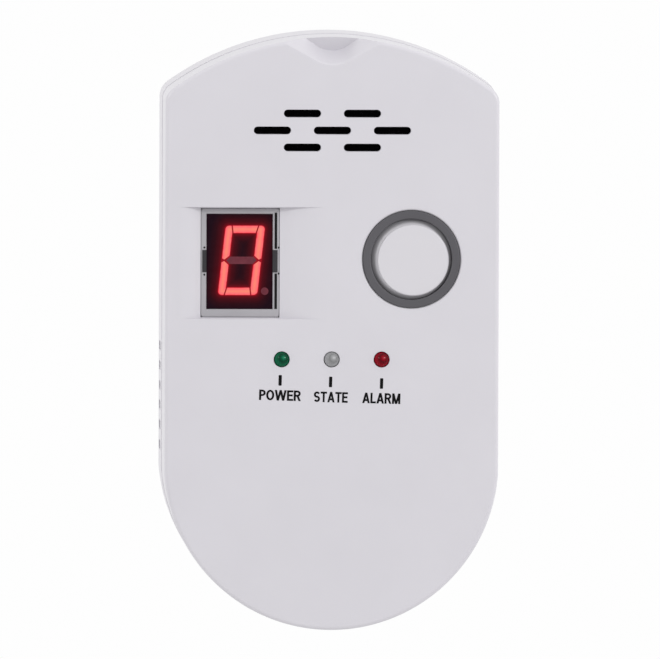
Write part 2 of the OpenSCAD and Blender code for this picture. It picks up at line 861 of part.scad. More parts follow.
module varistor() {
    color([0.05, 0.30, 0.62]) translate([-15.6, power_board_y - 3.4, 16.6]) rotate([0, 90, 0])
        cylinder(h = 3, r = 2.8);
    color([0.75, 0.75, 0.73])
        for (x = [-15.2, -13.4]) box(x, x + 0.4, power_board_y - 0.8, power_board_y, 16.4, 16.8);
}

module smoothing_capacitors() {
    color([0.12, 0.13, 0.30]) {
        can(13.6, 36.6, power_board_y - 12, power_board_y, 4);
        can(13.4, 28.9, power_board_y - 11, power_board_y, 3.2);
    }
}

module rectifier_diodes() {
    color([0.10, 0.10, 0.11])
        for (x = [18.4, 20.6], z = [22.5, 29]) translate([x, power_board_y - 1.2, z]) cylinder(h = 5, r = 1.1);
}

module regulator() {
    color([0.09, 0.09, 0.10]) translate([14, 0, 22]) plate(power_board_y - 6, power_board_y - 1.4)
        intersection() {
            circle(2.4);
            translate([-3, -1.2]) square([6, 4]);
        }
}

// ---------- wires ----------

module mains_leads() {
    color([0.45, 0.25, 0.15])
        for (side = [-1, 1]) wire([[side * pin_gap / 2, pin_tail_y, 0], [side * pin_gap / 2, -28, 0],
            [side * pin_gap / 2, -28, 16], [side * pin_gap / 2, power_board_y, 16]], 1);
}

module board_lead() {
    color([0.75, 0.12, 0.10])
        for (i = [0:3]) rod(12.4 + i * 1.5, 15, board_back_y + 1.2, power_board_y, 0.55);
}

module speaker_leads() {
    color([0.12, 0.12, 0.12])
        for (side = [-1, 1]) wire([[side * 2, face_in_y + 8.2, 27], [side * 2, board_back_y + 1.1, 27],
            [side * 2, board_back_y + 1.1, 13], [side * 2, board_back_y, 13]], 0.6);
}

front_housing();
rear_housing();
housing_screws();
pin_left();
pin_right();
pin_carrier();
carrier_screws();
rating_plate();
test_button();
button_ring();
display_frame();
display_case();
display_face();
display_segments();
display_middle_segment();
display_point();
display_pins();
lamp_power();
lamp_state();
lamp_alarm();
lamp_leads();
lamp_spacers();
main_board();
main_board_screws();
speaker_basket();
speaker_cone();
speaker_magnet();
speaker_cloth();
tact_switch();
tact_plunger();
tact_pins();
sensor_base();
sensor_cap();
sensor_pins();
microcontroller();
trimmer();
chip_resistors();
board_capacitor();
board_connector();
power_board();
power_board_screws();
transformer_core();
transformer_bobbin();
transformer_winding();
fuse();
varistor();
smoothing_capacitors();
rectifier_diodes();
regulator();
mains_leads();
board_lead();
speaker_leads();
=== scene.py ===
"""A plug-in gas alarm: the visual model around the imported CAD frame. Lengths are in millimetres until MM."""
import math

import bmesh
import bpy
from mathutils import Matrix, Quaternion, Vector


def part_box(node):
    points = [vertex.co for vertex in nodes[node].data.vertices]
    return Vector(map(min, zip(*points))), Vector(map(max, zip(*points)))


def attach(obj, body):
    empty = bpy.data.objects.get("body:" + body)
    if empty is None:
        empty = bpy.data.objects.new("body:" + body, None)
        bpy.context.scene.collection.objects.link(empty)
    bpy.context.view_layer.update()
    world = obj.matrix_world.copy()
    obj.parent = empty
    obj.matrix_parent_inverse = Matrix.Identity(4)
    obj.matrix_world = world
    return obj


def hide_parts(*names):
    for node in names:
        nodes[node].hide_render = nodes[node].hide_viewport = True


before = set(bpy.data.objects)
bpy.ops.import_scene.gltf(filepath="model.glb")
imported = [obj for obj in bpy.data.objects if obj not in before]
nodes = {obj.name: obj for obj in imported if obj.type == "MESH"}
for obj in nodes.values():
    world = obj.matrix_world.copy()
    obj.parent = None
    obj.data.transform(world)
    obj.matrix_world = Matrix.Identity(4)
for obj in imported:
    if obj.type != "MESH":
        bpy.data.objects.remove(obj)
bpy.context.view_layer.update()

MM = 0.001

# ---------- levels and sizes, worked out from the frame ----------


def limits(node):
    """A node's lowest and highest corners, in millimetres."""
    low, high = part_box(node)
    return low / MM, high / MM


def middle(node):
    """The middle of a node's box, in millimetres."""
    low, high = limits(node)
    return (low + high) / 2


rear_low, rear_high = limits("rear_housing")

FACE_Y = limits("front_housing")[0].y
SEAM_Y = FACE_Y + 20
REAR_Y = FACE_Y + 38
WALL = 2.2
BODY_HALF = rear_high.x
TOP_H = rear_high.z
TOP_R = 55.4
CORNER_R = 4
BOTTOM_R = 34.1
BOTTOM_Z = rear_low.z + BOTTOM_R
BOTTOM_STRETCH = 1.008
DRAFT = 0.58
REVEAL = 0.42
EDGE_R = 0.8
SEAM_GAP = 0.3
CAVITY = 2.65
LIP_OUT = 1.4
LIP_IN = 1.3
LIP_L = 1.8
FACE_IN_Y = FACE_Y + WALL
REAR_IN_Y = REAR_Y - WALL
BOARD_Y = limits("main_board")[0].y
REAR_ROUND = 1.6
REAR_DRAFT = 0.1
REAR_REVEAL = 0.3
# The soft edge at the seam: distance from the seam, and how much further in
SEAM_ROUND = [(0.14, 0), (0.05, 0.02), (0.01, 0.06), (0, 0.12)]

SCREW_AT = [(26, 36), (-26, 36), (18.8, -52.6), (-18.8, -52.6)]
BOARD_SCREW_AT = [(26.5, 21.2), (-26.5, 21.2), (22, -41), (-22, -41)]
POWER_SCREW_AT = [(19.6, 16), (-19.6, 16), (19.6, 39.8), (-19.6, 39.8)]
CARRIER_SCREW_AT = [(0, 10.5), (0, -10.5)]

BUTTON = middle("test_button")
RING_R = 9.74
SPEAKER = middle("speaker_basket")
SLOT_Z = 32.5
SLOT_PITCH = 12
SLOT_ROW = 3.4
SLOT_L = 7.45
SLOT_W = 1.55

LAMPS = {"lamp_power": -10, "lamp_state": 0, "lamp_alarm": 10}
LAMP_Z = middle("lamp_state").z
LENS_R = 1.59

FACE_MID = middle("display_face")
DISPLAY_X, DISPLAY_Z = FACE_MID.x, FACE_MID.z
DISPLAY_H = 19
DISPLAY_Y = limits("display_face")[0].y
FACE_LEFT = DISPLAY_X - 6.8
FACE_RIGHT = DISPLAY_X + 6.38
FRAME_X, FRAME_Z = DISPLAY_X - 0.1, DISPLAY_Z - 0.25
FRAME_HALF_W = 7.9
FRAME_HALF_H = 10.95
SCOOP_D = 1.6
SCOOP_LEFT = -30.8
SCOOP_RIGHT = -0.8
SCOOP_MARGIN = 0.25
SCOOP_FLOOR_Y = FACE_Y + SCOOP_D
PAD_BACK_Y = SCOOP_FLOOR_Y + 2
BOSS_R = 18.5
BOSS_WALL = 2.5
BOSS_FACE_T = 5
BOSS_FILLET = 1.2
BOSS_EDGE = 0.6


# ---------- mesh helpers ----------


def arc(cx, cz, r, start, end, steps, wide=None):
    """Points of a circular arc, the end included, as (x, z). With a second radius along X the arc is oval."""
    turns = [math.radians(start + (end - start) * i / steps) for i in range(steps + 1)]
    return [(cx + (wide or r) * math.cos(a), cz + r * math.sin(a)) for a in turns]


def quarter(size, steps=8):
    """A quarter round's points as (fall, rest): fall grows from 0 to the size as rest shrinks to 0."""
    turns = [math.radians(90 * i / steps) for i in range(steps + 1)]
    return [(size * (1 - math.cos(a)), size * (1 - math.sin(a))) for a in turns]


def outline(inset):
    """The housing's outline, drawn in by an even distance, as (x, z)."""
    half = BODY_HALF - inset
    top = TOP_R - inset
    low = BOTTOM_R - inset
    corner = max(CORNER_R - inset, 0.5)
    top_c = TOP_H - TOP_R
    corner_x = half - corner
    corner_z = top_c + math.sqrt((top - corner) ** 2 - corner_x**2)
    turn = math.degrees(math.atan2(corner_z - top_c, corner_x))
    kink = math.degrees(math.acos(half / low))
    step = 0.9
    bottom = arc(0, BOTTOM_Z, low, 180 + kink, 360 - kink, 90)
    return (
        arc(corner_x, corner_z, corner, 0, turn, 9)
        + arc(0, top_c, top, turn + step, 180 - turn - step, 44)
        + arc(-corner_x, corner_z, corner, 180 - turn, 180, 9)
        + [(x, BOTTOM_Z + (z - BOTTOM_Z) * BOTTOM_STRETCH) for x, z in bottom]
    )


def new_object(name, bm):
    """A mesh object from a bmesh whose lengths are in millimetres."""
    bmesh.ops.recalc_face_normals(bm, faces=bm.faces)
    bmesh.ops.scale(bm, vec=(MM, MM, MM), verts=bm.verts)
    mesh = bpy.data.meshes.new(name)
    bm.to_mesh(mesh)
    bm.free()
    thing = bpy.data.objects.new(name, mesh)
    bpy.context.scene.collection.objects.link(thing)
    return thing


def loft(name, loops):
    """A closed body through loops of equally many points, with a flat cap at each end."""
    bm = bmesh.new()
    rings = [[bm.verts.new(p) for p in loop] for loop in loops]
    count = len(rings[0])
    for a, b in zip(rings, rings[1:]):
        for i in range(count):
            j = (i + 1) % count
            bm.faces.new((a[i], a[j], b[j], b[i]))
    bm.faces.new(rings[0])
    bm.faces.new(rings[-1])
    return new_object(name, bm)


def prism(name, points, y0, y1):
    """A flat outline in X and Z, standing between two levels along Y."""
    return loft(name, [[(x, y, z) for x, z in points] for y in (y0, y1)])


def box(name, x0, x1, y0, y1, z0, z1):
    """A plain block."""
    return prism(name, [(x0, z0), (x1, z0), (x1, z1), (x0, z1)], y0, y1)


def lathe(name, profile, x=0, z=0, steps=96):
    """A turned body about a line along Y. The profile is a closed list of (radius, y).
    A third and a fourth value move that ring aside along X and Z."""
    bm = bmesh.new()
    placed = []
    for r, y, *aside in profile:
        aside_x, aside_z = aside or (0, 0)
        placed.append((r, y, x + aside_x, z + aside_z))
    axis = [bm.verts.new((cx, y, cz)) if r == 0 else None for r, y, cx, cz in placed]
    rings = []
    for i in range(steps):
        a = 2 * math.pi * i / steps
        ring = []
        for on_axis, (r, y, cx, cz) in zip(axis, placed):
            ring.append(on_axis or bm.verts.new((cx + r * math.cos(a), y, cz + r * math.sin(a))))
        rings.append(ring)
    count = len(profile)
    for i in range(steps):
        one, two = rings[i], rings[(i + 1) % steps]
        for k in range(count):
            m = (k + 1) % count
            corners = []
            for v in (one[k], one[m], two[m], two[k]):
                if v not in corners:
                    corners.append(v)
            if len(corners) > 2:
                bm.faces.new(corners)
    return new_object(name, bm)


def rod(name, x, z, y0, y1, r, steps=48):
    """A plain round bar along Y."""
    return lathe(name, [(0, y0), (r, y0), (r, y1), (0, y1)], x, z, steps)


def joined(name, things):
    """Several separate bodies as one object."""
    bm = bmesh.new()
    for thing in things:
        bm.from_mesh(thing.data)
        bpy.data.objects.remove(thing)
    mesh = bpy.data.meshes.new(name)
    bm.to_mesh(mesh)
    bm.free()
    whole = bpy.data.objects.new(name, mesh)
    bpy.context.scene.collection.objects.link(whole)
    return whole


def apply_modifiers(thing):
    """Makes the modifiers' result the mesh itself."""
    bpy.context.view_layer.update()
    seen = thing.evaluated_get(bpy.context.evaluated_depsgraph_get())
    mesh = bpy.data.meshes.new_from_object(seen)
    thing.modifiers.clear()
    thing.data = mesh


def combine(thing, tool, operation):
    """Adds the tool to the thing or cuts it away, and removes the tool."""
    change = thing.modifiers.new("change", "BOOLEAN")
    change.operation = operation
    change.solver = "EXACT"
    change.object = tool
    apply_modifiers(thing)
    bpy.data.objects.remove(tool)


def add(thing, *tools):
    for tool in tools:
        combine(thing, tool, "UNION")


def cut(thing, *tools):
    for tool in tools:
        combine(thing, tool, "DIFFERENCE")


def smooth(thing, angle=32):
    """Smooth shading, sharp past the angle, with the large flat faces kept flat."""
    mesh = thing.data
    mesh.polygons.foreach_set("use_smooth", [True] * len(mesh.polygons))
    mesh.set_sharp_from_angle(angle=math.radians(angle))
    weigh = thing.modifiers.new("weigh", "WEIGHTED_NORMAL")
    weigh.mode = "FACE_AREA"
    weigh.weight = 80
    weigh.keep_sharp = True
    return thing


def piece(thing, body, slot, material, *replaced):
    """Gives a finished piece its body and its material, and hides the CAD nodes that it stands for; its slot
    is not used.
    """
    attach(thing, body)
    thing.data.materials.clear()
    thing.data.materials.append(material)
    if replaced:
        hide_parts(*replaced)
    return thing


def stadium(l, w, steps=10):
    """A slot with round ends, as (x, z) about the origin."""
    half = (l - w) / 2
    return arc(half, 0, w / 2, -90, 90, steps) + arc(-half, 0, w / 2, 90, 270, steps)


def lipped(name, shape, centre, y_face, y_end, lip, outward=-1):
    """A cutter for a hole with a rounded lip. shape(grow) gives its outline, grown by a distance;
    outward is the way out of the face along Y."""
    rings = [(lip * 1.2, y_face + outward * 0.4)]
    rings += [(rest, y_face - outward * fall) for fall, rest in quarter(lip, 4)]
    rings.append((0, y_end))
    cx, cz = centre
    return loft(name, [[(cx + x, y, cz + z) for x, z in shape(grow)] for grow, y in rings])


def round_shape(r, steps=64):
    """shape() for lipped: a circle."""
    return lambda grow: arc(0, 0, r + grow, 0, 360 * (steps - 1) / steps, steps - 1)


def slot_shape(l, w):
    """shape() for lipped: a slot with round ends."""
    return lambda grow: stadium(l + 2 * grow, w + 2 * grow)


# ---------- material helpers ----------


class Paint:
    """A node material with one Principled shader and short calls for what feeds it."""

    def __init__(self, name):
        self.material = bpy.data.materials.new(name)
        self.material.use_nodes = True
        self.tree = self.material.node_tree
        self.shader = self.tree.nodes["Principled BSDF"]
        self.place = self.node("ShaderNodeTexCoord").outputs["Object"]

    def node(self, kind, **values):
        made = self.tree.nodes.new(kind)
        for key, value in values.items():
            setattr(made, key, value)
        return made

    def link(self, source, target):
        self.tree.links.new(source, target)

    def maths(self, operation, *values, kind="ShaderNodeMath"):
        """A math node; each value is a socket or a constant."""
        made = self.node(kind, operation=operation)
        for target, value in zip(made.inputs, values):
            if isinstance(value, bpy.types.NodeSocket):
                self.link(value, target)
            else:
                target.default_value = value
        return made.outputs

    def vector(self, operation, *values):
        return self.maths(operation, *values, kind="ShaderNodeVectorMath")

    def split(self):
        """The shaded point's own X, Y and Z."""
        made = self.node("ShaderNodeSeparateXYZ")
        self.link(self.place, made.inputs["Vector"])
        return made.outputs

    def between(self, value, start, end):
        """Runs from 0 at the start to 1 at the end, both in millimetres."""
        made = self.node("ShaderNodeMapRange")
        made.inputs["From Min"].default_value = start * MM
        made.inputs["From Max"].default_value = end * MM
        self.link(value, made.inputs["Value"])
        return made.outputs["Result"]

    def set(self, **values):
        for key, value in values.items():
            self.shader.inputs[key.replace("_", " ")].default_value = value

    def noise(self, size, detail=3, roughness=0.55):
        """Noise whose grain is about size millimetres."""
        made = self.node("ShaderNodeTexNoise")
        made.inputs["Scale"].default_value = 1 / (size * MM)
        made.inputs["Detail"].default_value = detail
        made.inputs["Roughness"].default_value = roughness
        self.link(self.place, made.inputs["Vector"])
        return made.outputs["Fac"]

    def ramp(self, factor, stops):
        """A colour ramp; stops are (position, colour)."""
        made = self.node("ShaderNodeValToRGB")
        bar = made.color_ramp.elements
        for i, (at, colour) in enumerate(stops):
            stop = bar[i] if i < 2 else bar.new(at)
            stop.position = at
            stop.color = (*colour, 1)
        self.link(factor, made.inputs["Fac"])
        return made.outputs["Color"]

    def tone(self, factor, stops):
        """The surface's colour, by a ramp."""
        self.link(self.ramp(factor, stops), self.shader.inputs["Base Color"])

    def gloss(self, factor, low, high):
        """The surface's roughness, between two values."""
        self.link(self.spread(factor, low, high), self.shader.inputs["Roughness"])

    def spread(self, factor, low, high):
        """Maps a 0 to 1 factor to a range."""
        made = self.node("ShaderNodeMapRange")
        made.inputs["To Min"].default_value = low
        made.inputs["To Max"].default_value = high
        self.link(factor, made.inputs["Value"])
        return made.outputs["Result"]

    def bump(self, height, strength, depth, before=None):
        """A bump of the given depth in millimetres, on top of an earlier one."""
        made = self.node("ShaderNodeBump")
        made.inputs["Strength"].default_value = strength
        made.inputs["Distance"].default_value = depth * MM
        self.link(height, made.inputs["Height"])
        if before is not None:
            self.link(before, made.inputs["Normal"])
        self.link(made.outputs["Normal"], self.shader.inputs["Normal"])
        return made.outputs["Normal"]


def tinted(colour, by):
    """A colour made lighter or darker."""
    return tuple(min(1, c * by) for c in colour)


def moulded(name, colour, roughness=0.42, grain=0.18, depth=0.012, vary=0.03, specular=0.5):
    """Moulded plastic with a fine spark-eroded grain, slow flow marks and slightly uneven gloss."""
    p = Paint(name)
    p.tone(p.noise(14, 2), [(0.3, tinted(colour, 1 - vary)), (0.7, tinted(colour, 1 + vary))])
    p.gloss(p.noise(2.5, 4), roughness * 0.9, roughness * 1.12)
    p.set(Specular_IOR_Level=specular)
    fine = p.bump(p.noise(grain, 2), 0.35, depth)
    p.bump(p.noise(7, 1), 0.2, 0.02, fine)
    return p.material


def moulded_with_painted_shade(name, colour, shade_colour, start, end):
    """Moulded plastic whose colour turns to a darker grey between two places along Y: painted shade, deepening
    down the wall into a crevice.
    """
    p = Paint(name)
    stops = []
    for at, share in ((0, 0), (0.35, 0.55), (0.7, 0.88), (1, 1)):
        stops.append((at, [a + (b - a) * share for a, b in zip(colour, shade_colour)]))
    p.tone(p.between(p.split()["Y"], start, end), stops)
    p.gloss(p.noise(2.5, 4), 0.36, 0.44)
    p.bump(p.noise(0.18, 2), 0.35, 0.012)
    return p.material


def metal(name, colour, roughness=0.28, streak=0.4):
    """Plated or stamped metal with fine drawing marks and cloudy gloss."""
    p = Paint(name)
    p.set(Metallic=1)
    p.tone(p.noise(1.6, 4), [(0.25, tinted(colour, 0.94)), (0.75, tinted(colour, 1.04))])
    p.gloss(p.noise(0.7, 5), roughness * 0.85, roughness * 1.2)
    p.bump(p.noise(0.25, 3), streak * 0.5, 0.01)
    return p.material


white_shell = moulded("white_shell", (0.665, 0.648, 0.690), 0.34, vary=0.012)
rear_shell_paint = moulded("rear_shell", (0.665, 0.648, 0.690), 0.36, vary=0.014)
ring_grey = moulded("button_ring", (0.088, 0.085, 0.095), 0.45, grain=0.12, depth=0.008, vary=0.05)
frame_grey = moulded("frame_grey", (0.41, 0.40, 0.425), 0.33, grain=0.1, depth=0.006, vary=0.05)
clip_grey = moulded("clip_grey", (0.035, 0.034, 0.038), 0.42, grain=0.1, vary=0.25, specular=0.3)
black_plastic = moulded("black_plastic", (0.02, 0.02, 0.022), 0.5, vary=0.1)
carrier_cream = moulded("carrier_cream", (0.74, 0.69, 0.58), 0.5, vary=0.03)
spacer_nylon = moulded("spacer_nylon", (0.72, 0.72, 0.68), 0.4, vary=0.03)
connector_white = moulded("connector_white", (0.74, 0.71, 0.62), 0.38, vary=0.03)
trimmer_blue = moulded("trimmer_blue", (0.02, 0.09, 0.38), 0.35, vary=0.08)
bakelite = moulded("bakelite", (0.028, 0.02, 0.016), 0.4, vary=0.15)
varistor_blue = moulded("varistor_blue", (0.01, 0.07, 0.30), 0.3, grain=0.4, depth=0.02, vary=0.1)
fuse_ceramic = moulded("fuse_ceramic", (0.52, 0.45, 0.33), 0.55, vary=0.06)
sleeve_dark = moulded("capacitor_sleeve", (0.014, 0.017, 0.075), 0.25, grain=0.5, vary=0.1)
wire_brown = moulded("wire_brown", (0.12, 0.05, 0.025), 0.38, vary=0.08)
wire_red = moulded("wire_red", (0.45, 0.02, 0.015), 0.38, vary=0.08)
wire_black = moulded("wire_black", (0.015, 0.015, 0.016), 0.38, vary=0.1)
zinc = metal("zinc_screw", (0.60, 0.60, 0.60), 0.34)
nickel = metal("pin_nickel", (0.68, 0.67, 0.64), 0.16, 0.15)
tin = metal("tin", (0.66, 0.66, 0.64), 0.3)
basket_steel = metal("basket_steel", (0.12, 0.12, 0.13), 0.4)


def label_film():
    """A blank matt label with a thin printed border."""
    p = Paint("label_film")
    low, high = limits("rating_plate")
    at = p.split()
    edges = []
    for axis, a, b in (("X", low.x, high.x), ("Z", low.z, high.z)):
        away = p.maths("SUBTRACT", at[axis], (a + b) / 2 * MM)[0]
        size = p.maths("ABSOLUTE", away)[0]
        edges.append(p.maths("SUBTRACT", (b - a) / 2 * MM, size)[0])
    nearest = p.maths("MINIMUM", *edges)[0]
    line = p.maths("COMPARE", nearest, 1.1 * MM, 0.14 * MM)[0]
    p.tone(line, [(0.0, (0.60, 0.60, 0.61)), (1.0, (0.10, 0.10, 0.11))])
    p.gloss(p.noise(1.5, 4), 0.42, 0.56)
    p.bump(p.noise(0.3, 2), 0.2, 0.01)
    return p.material


def board_paint(name, mask, copper):
    """Solder mask over copper tracks: a warped grid of lines reads as tracks, with a fine weave below."""
    p = Paint(name)
    lines = p.node("ShaderNodeTexBrick")
    lines.offset = 0.5
    lines.inputs["Scale"].default_value = 1 / (9 * MM)
    lines.inputs["Mortar Size"].default_value = 0.035
    lines.inputs["Color1"].default_value = (*mask, 1)
    lines.inputs["Color2"].default_value = (*tinted(mask, 0.82), 1)
    lines.inputs["Mortar"].default_value = (*copper, 1)
    turn = p.node("ShaderNodeMapping")
    turn.inputs["Rotation"].default_value = (math.radians(90), 0, 0)
    p.link(p.place, turn.inputs["Vector"])
    p.link(turn.outputs["Vector"], lines.inputs["Vector"])
    p.link(lines.outputs["Color"], p.shader.inputs["Base Color"])
    p.gloss(p.noise(1.2, 3), 0.22, 0.36)
    p.bump(p.noise(0.35, 2), 0.3, 0.015)
    return p.material


def woven(name, colour, pitch=0.32, wire=False):
    """A woven cloth or a wire mesh: two sets of waves, crossed, with dark gaps between the threads."""
    p = Paint(name)
    heights = []
    for turn in (0, 90):
        wave = p.node("ShaderNodeTexWave", wave_type="BANDS", bands_direction="X")
        wave.inputs["Scale"].default_value = 0.31 / (pitch * MM)
        wave.inputs["Distortion"].default_value = 0.2
        mapping = p.node("ShaderNodeMapping")
        mapping.inputs["Rotation"].default_value = (0, math.radians(turn), 0)
        p.link(p.place, mapping.inputs["Vector"])
        p.link(mapping.outputs["Vector"], wave.inputs["Vector"])
        heights.append(wave.outputs["Fac"])
    top = p.maths("MAXIMUM", *heights)[0]
    p.tone(top, [(0.35, tinted(colour, 0.15)), (0.8, colour)])
    p.gloss(top, 0.75, 0.35 if wire else 0.85)
    p.set(Metallic=1 if wire else 0, Specular_IOR_Level=0.5 if wire else 0.02)
    p.bump(top, 0.7, 0.1)
    return p.material


def laminated(name, colour):
    """Stacked steel sheets: thin dark lines across Y."""
    p = Paint(name)
    wave = p.node("ShaderNodeTexWave", wave_type="BANDS", bands_direction="Y")
    wave.inputs["Scale"].default_value = 0.31 / (0.5 * MM)
    p.link(p.place, wave.inputs["Vector"])
    p.tone(wave.outputs["Fac"], [(0.1, tinted(colour, 0.35)), (0.35, colour)])
    p.set(Metallic=1)
    p.gloss(p.noise(0.8, 3), 0.35, 0.55)
    p.bump(wave.outputs["Fac"], 0.5, 0.05)
    return p.material


def taped(name, colour):
    """Polyester tape over a winding: overlapping turns across Z and a soft shine."""
    p = Paint(name)
    wave = p.node("ShaderNodeTexWave", wave_type="BANDS", bands_direction="Z", wave_profile="SAW")
    wave.inputs["Scale"].default_value = 0.31 / (4 * MM)
    p.link(p.place, wave.inputs["Vector"])
    p.tone(wave.outputs["Fac"], [(0.0, tinted(colour, 0.7)), (0.15, colour)])
    p.gloss(p.noise(3, 3), 0.15, 0.35)
    p.bump(wave.outputs["Fac"], 0.4, 0.08)
    return p.material


def paper_cone():
    """Pressed black paper with a fibrous surface."""
    p = Paint("paper_cone")
    fibre = p.noise(0.35, 6, 0.7)
    p.tone(fibre, [(0.3, (0.012, 0.011, 0.011)), (0.75, (0.045, 0.042, 0.04))])
    p.set(Roughness=0.85)
    p.bump(fibre, 0.6, 0.06)
    return p.material


def ink():
    """Black pad print, slightly uneven and a little glossier than the plastic."""
    p = Paint("black_ink")
    p.tone(p.noise(0.5, 4), [(0.3, (0.0020, 0.0020, 0.0024)), (0.8, (0.0055, 0.0055, 0.0065))])
    p.set(Specular_IOR_Level=0.1)
    p.gloss(p.noise(0.3, 2), 0.45, 0.6)
    p.bump(p.noise(0.2, 2), 0.3, 0.006)
    return p.material


def resin(name, highlight_at, colour, deep, highlight_colour, clear=0.25):
    """Tinted lamp resin: a clear body with a painted highlight, a light spot at the given place, and a darker
    painted ring round it.
    """
    p = Paint(name)
    stops = [(0.0, colour), (0.42, deep), (0.72, colour), (1.0, highlight_colour)]
    away = p.vector("DISTANCE", p.place, [c * MM for c in highlight_at])["Value"]
    p.tone(p.between(away, 1.5, 0), stops)
    p.set(Roughness=0.16, Specular_IOR_Level=0.12)
    p.set(Subsurface_Weight=clear, Subsurface_Scale=0.8 * MM)
    p.shader.inputs["Subsurface Radius"].default_value = (1, 1, 1)
    p.bump(p.noise(1.1, 1), 0.08, 0.01)
    return p.material


# ---------- front housing ----------


def shoulder(start, way, run):
    """A round shoulder's points, from the face down to the scoop's floor, as (x, depth)."""
    r = (run * run + SCOOP_D * SCOOP_D) / (2 * SCOOP_D)
    sweep = math.asin(run / r)
    turns = [sweep * i / 24 for i in range(25)]
    return [(start + way * r * math.sin(a), r * (1 - math.cos(a))) for a in turns]


def scoop_tool():
    """What the scoop takes from the face: the same section all the way along Z."""
    left = shoulder(SCOOP_LEFT, 1, FRAME_X - FRAME_HALF_W - SCOOP_LEFT)
    right = shoulder(SCOOP_RIGHT, -1, SCOOP_RIGHT - FRAME_X - FRAME_HALF_W)
    section = [(SCOOP_LEFT, -1)] + left + right[::-1] + [(SCOOP_RIGHT, -1)]
    half = FRAME_HALF_H + SCOOP_MARGIN
    ends = (FRAME_Z - half, FRAME_Z + half)
    return loft("scoop_tool", [[(x, FACE_Y + d, z) for x, d in section] for z in ends])


def rounded_v(low, round_r, slope, steps=24):
    """A V with a round bottom, open above the top edge, as (x, z)."""
    high = TOP_H + 3
    bend = math.radians(slope)
    far = round_r * math.sin(bend) + (high - low - round_r * (1 - math.cos(bend))) / math.tan(bend)
    bottom = arc(0, low + round_r, round_r, 270 - slope, 270 + slope, steps)
    end_x, end_z = bottom[-1]
    flank = [(end_x + (far - end_x) * i / 16, end_z + (high - end_z) * i / 16) for i in range(1, 17)]
    return [(-x, z) for x, z in flank[::-1]] + bottom + flank


NOTCH_D = 4.2
NOTCH_LEAN = 32
# The notch at the face and at its floor: its lowest point, the roundness there and the slope of its sides
NOTCH_MOUTH = (45.75, 6.2, 28.5)
NOTCH_FLOOR = (48.38, 5.4, 34)


def notch_tool():
    """The thumb notch: a soft lip, a sloping wall, and a small floor that leans to the front at its top."""
    lean = math.tan(math.radians(NOTCH_LEAN))
    # Depth, and how far the lip flares out
    levels = [(-0.6, 0.3), (0, 0.28), (0.05, 0.14), (0.16, 0.04), (0.35, 0)]
    levels += [(0.35 + (NOTCH_D - 0.35) * i / 6, 0) for i in range(1, 7)]
    loops = []
    for depth, flare in levels:
        share = max(depth - 0.1, 0) / (NOTCH_D - 0.1)
        low, round_r, slope = [m + (f - m) * share for m, f in zip(NOTCH_MOUTH, NOTCH_FLOOR)]
        points = rounded_v(low - flare, round_r + flare, slope)
        loops.append([(x, FACE_Y + depth - (z - NOTCH_FLOOR[0]) * lean * share, z) for x, z in points])
    return loft("notch_tool", loops)


BUSH_R = 3.4
POST_R = 2.6
SMALL_BORE_R = 1.1
COLLAR_R = 15.3
SPEAKER_ROOM_R = 14.1
CLOTH_ROOM = (17.2, 5.7)
SLOT_ROWS = {-1: 2, 0: 3, 1: 2}


def skin_body(name, levels):
    """A body whose outline is drawn in by a distance of its own at each level along Y."""
    return loft(name, [[(x, y, z) for x, z in outline(inset)] for y, inset in levels])


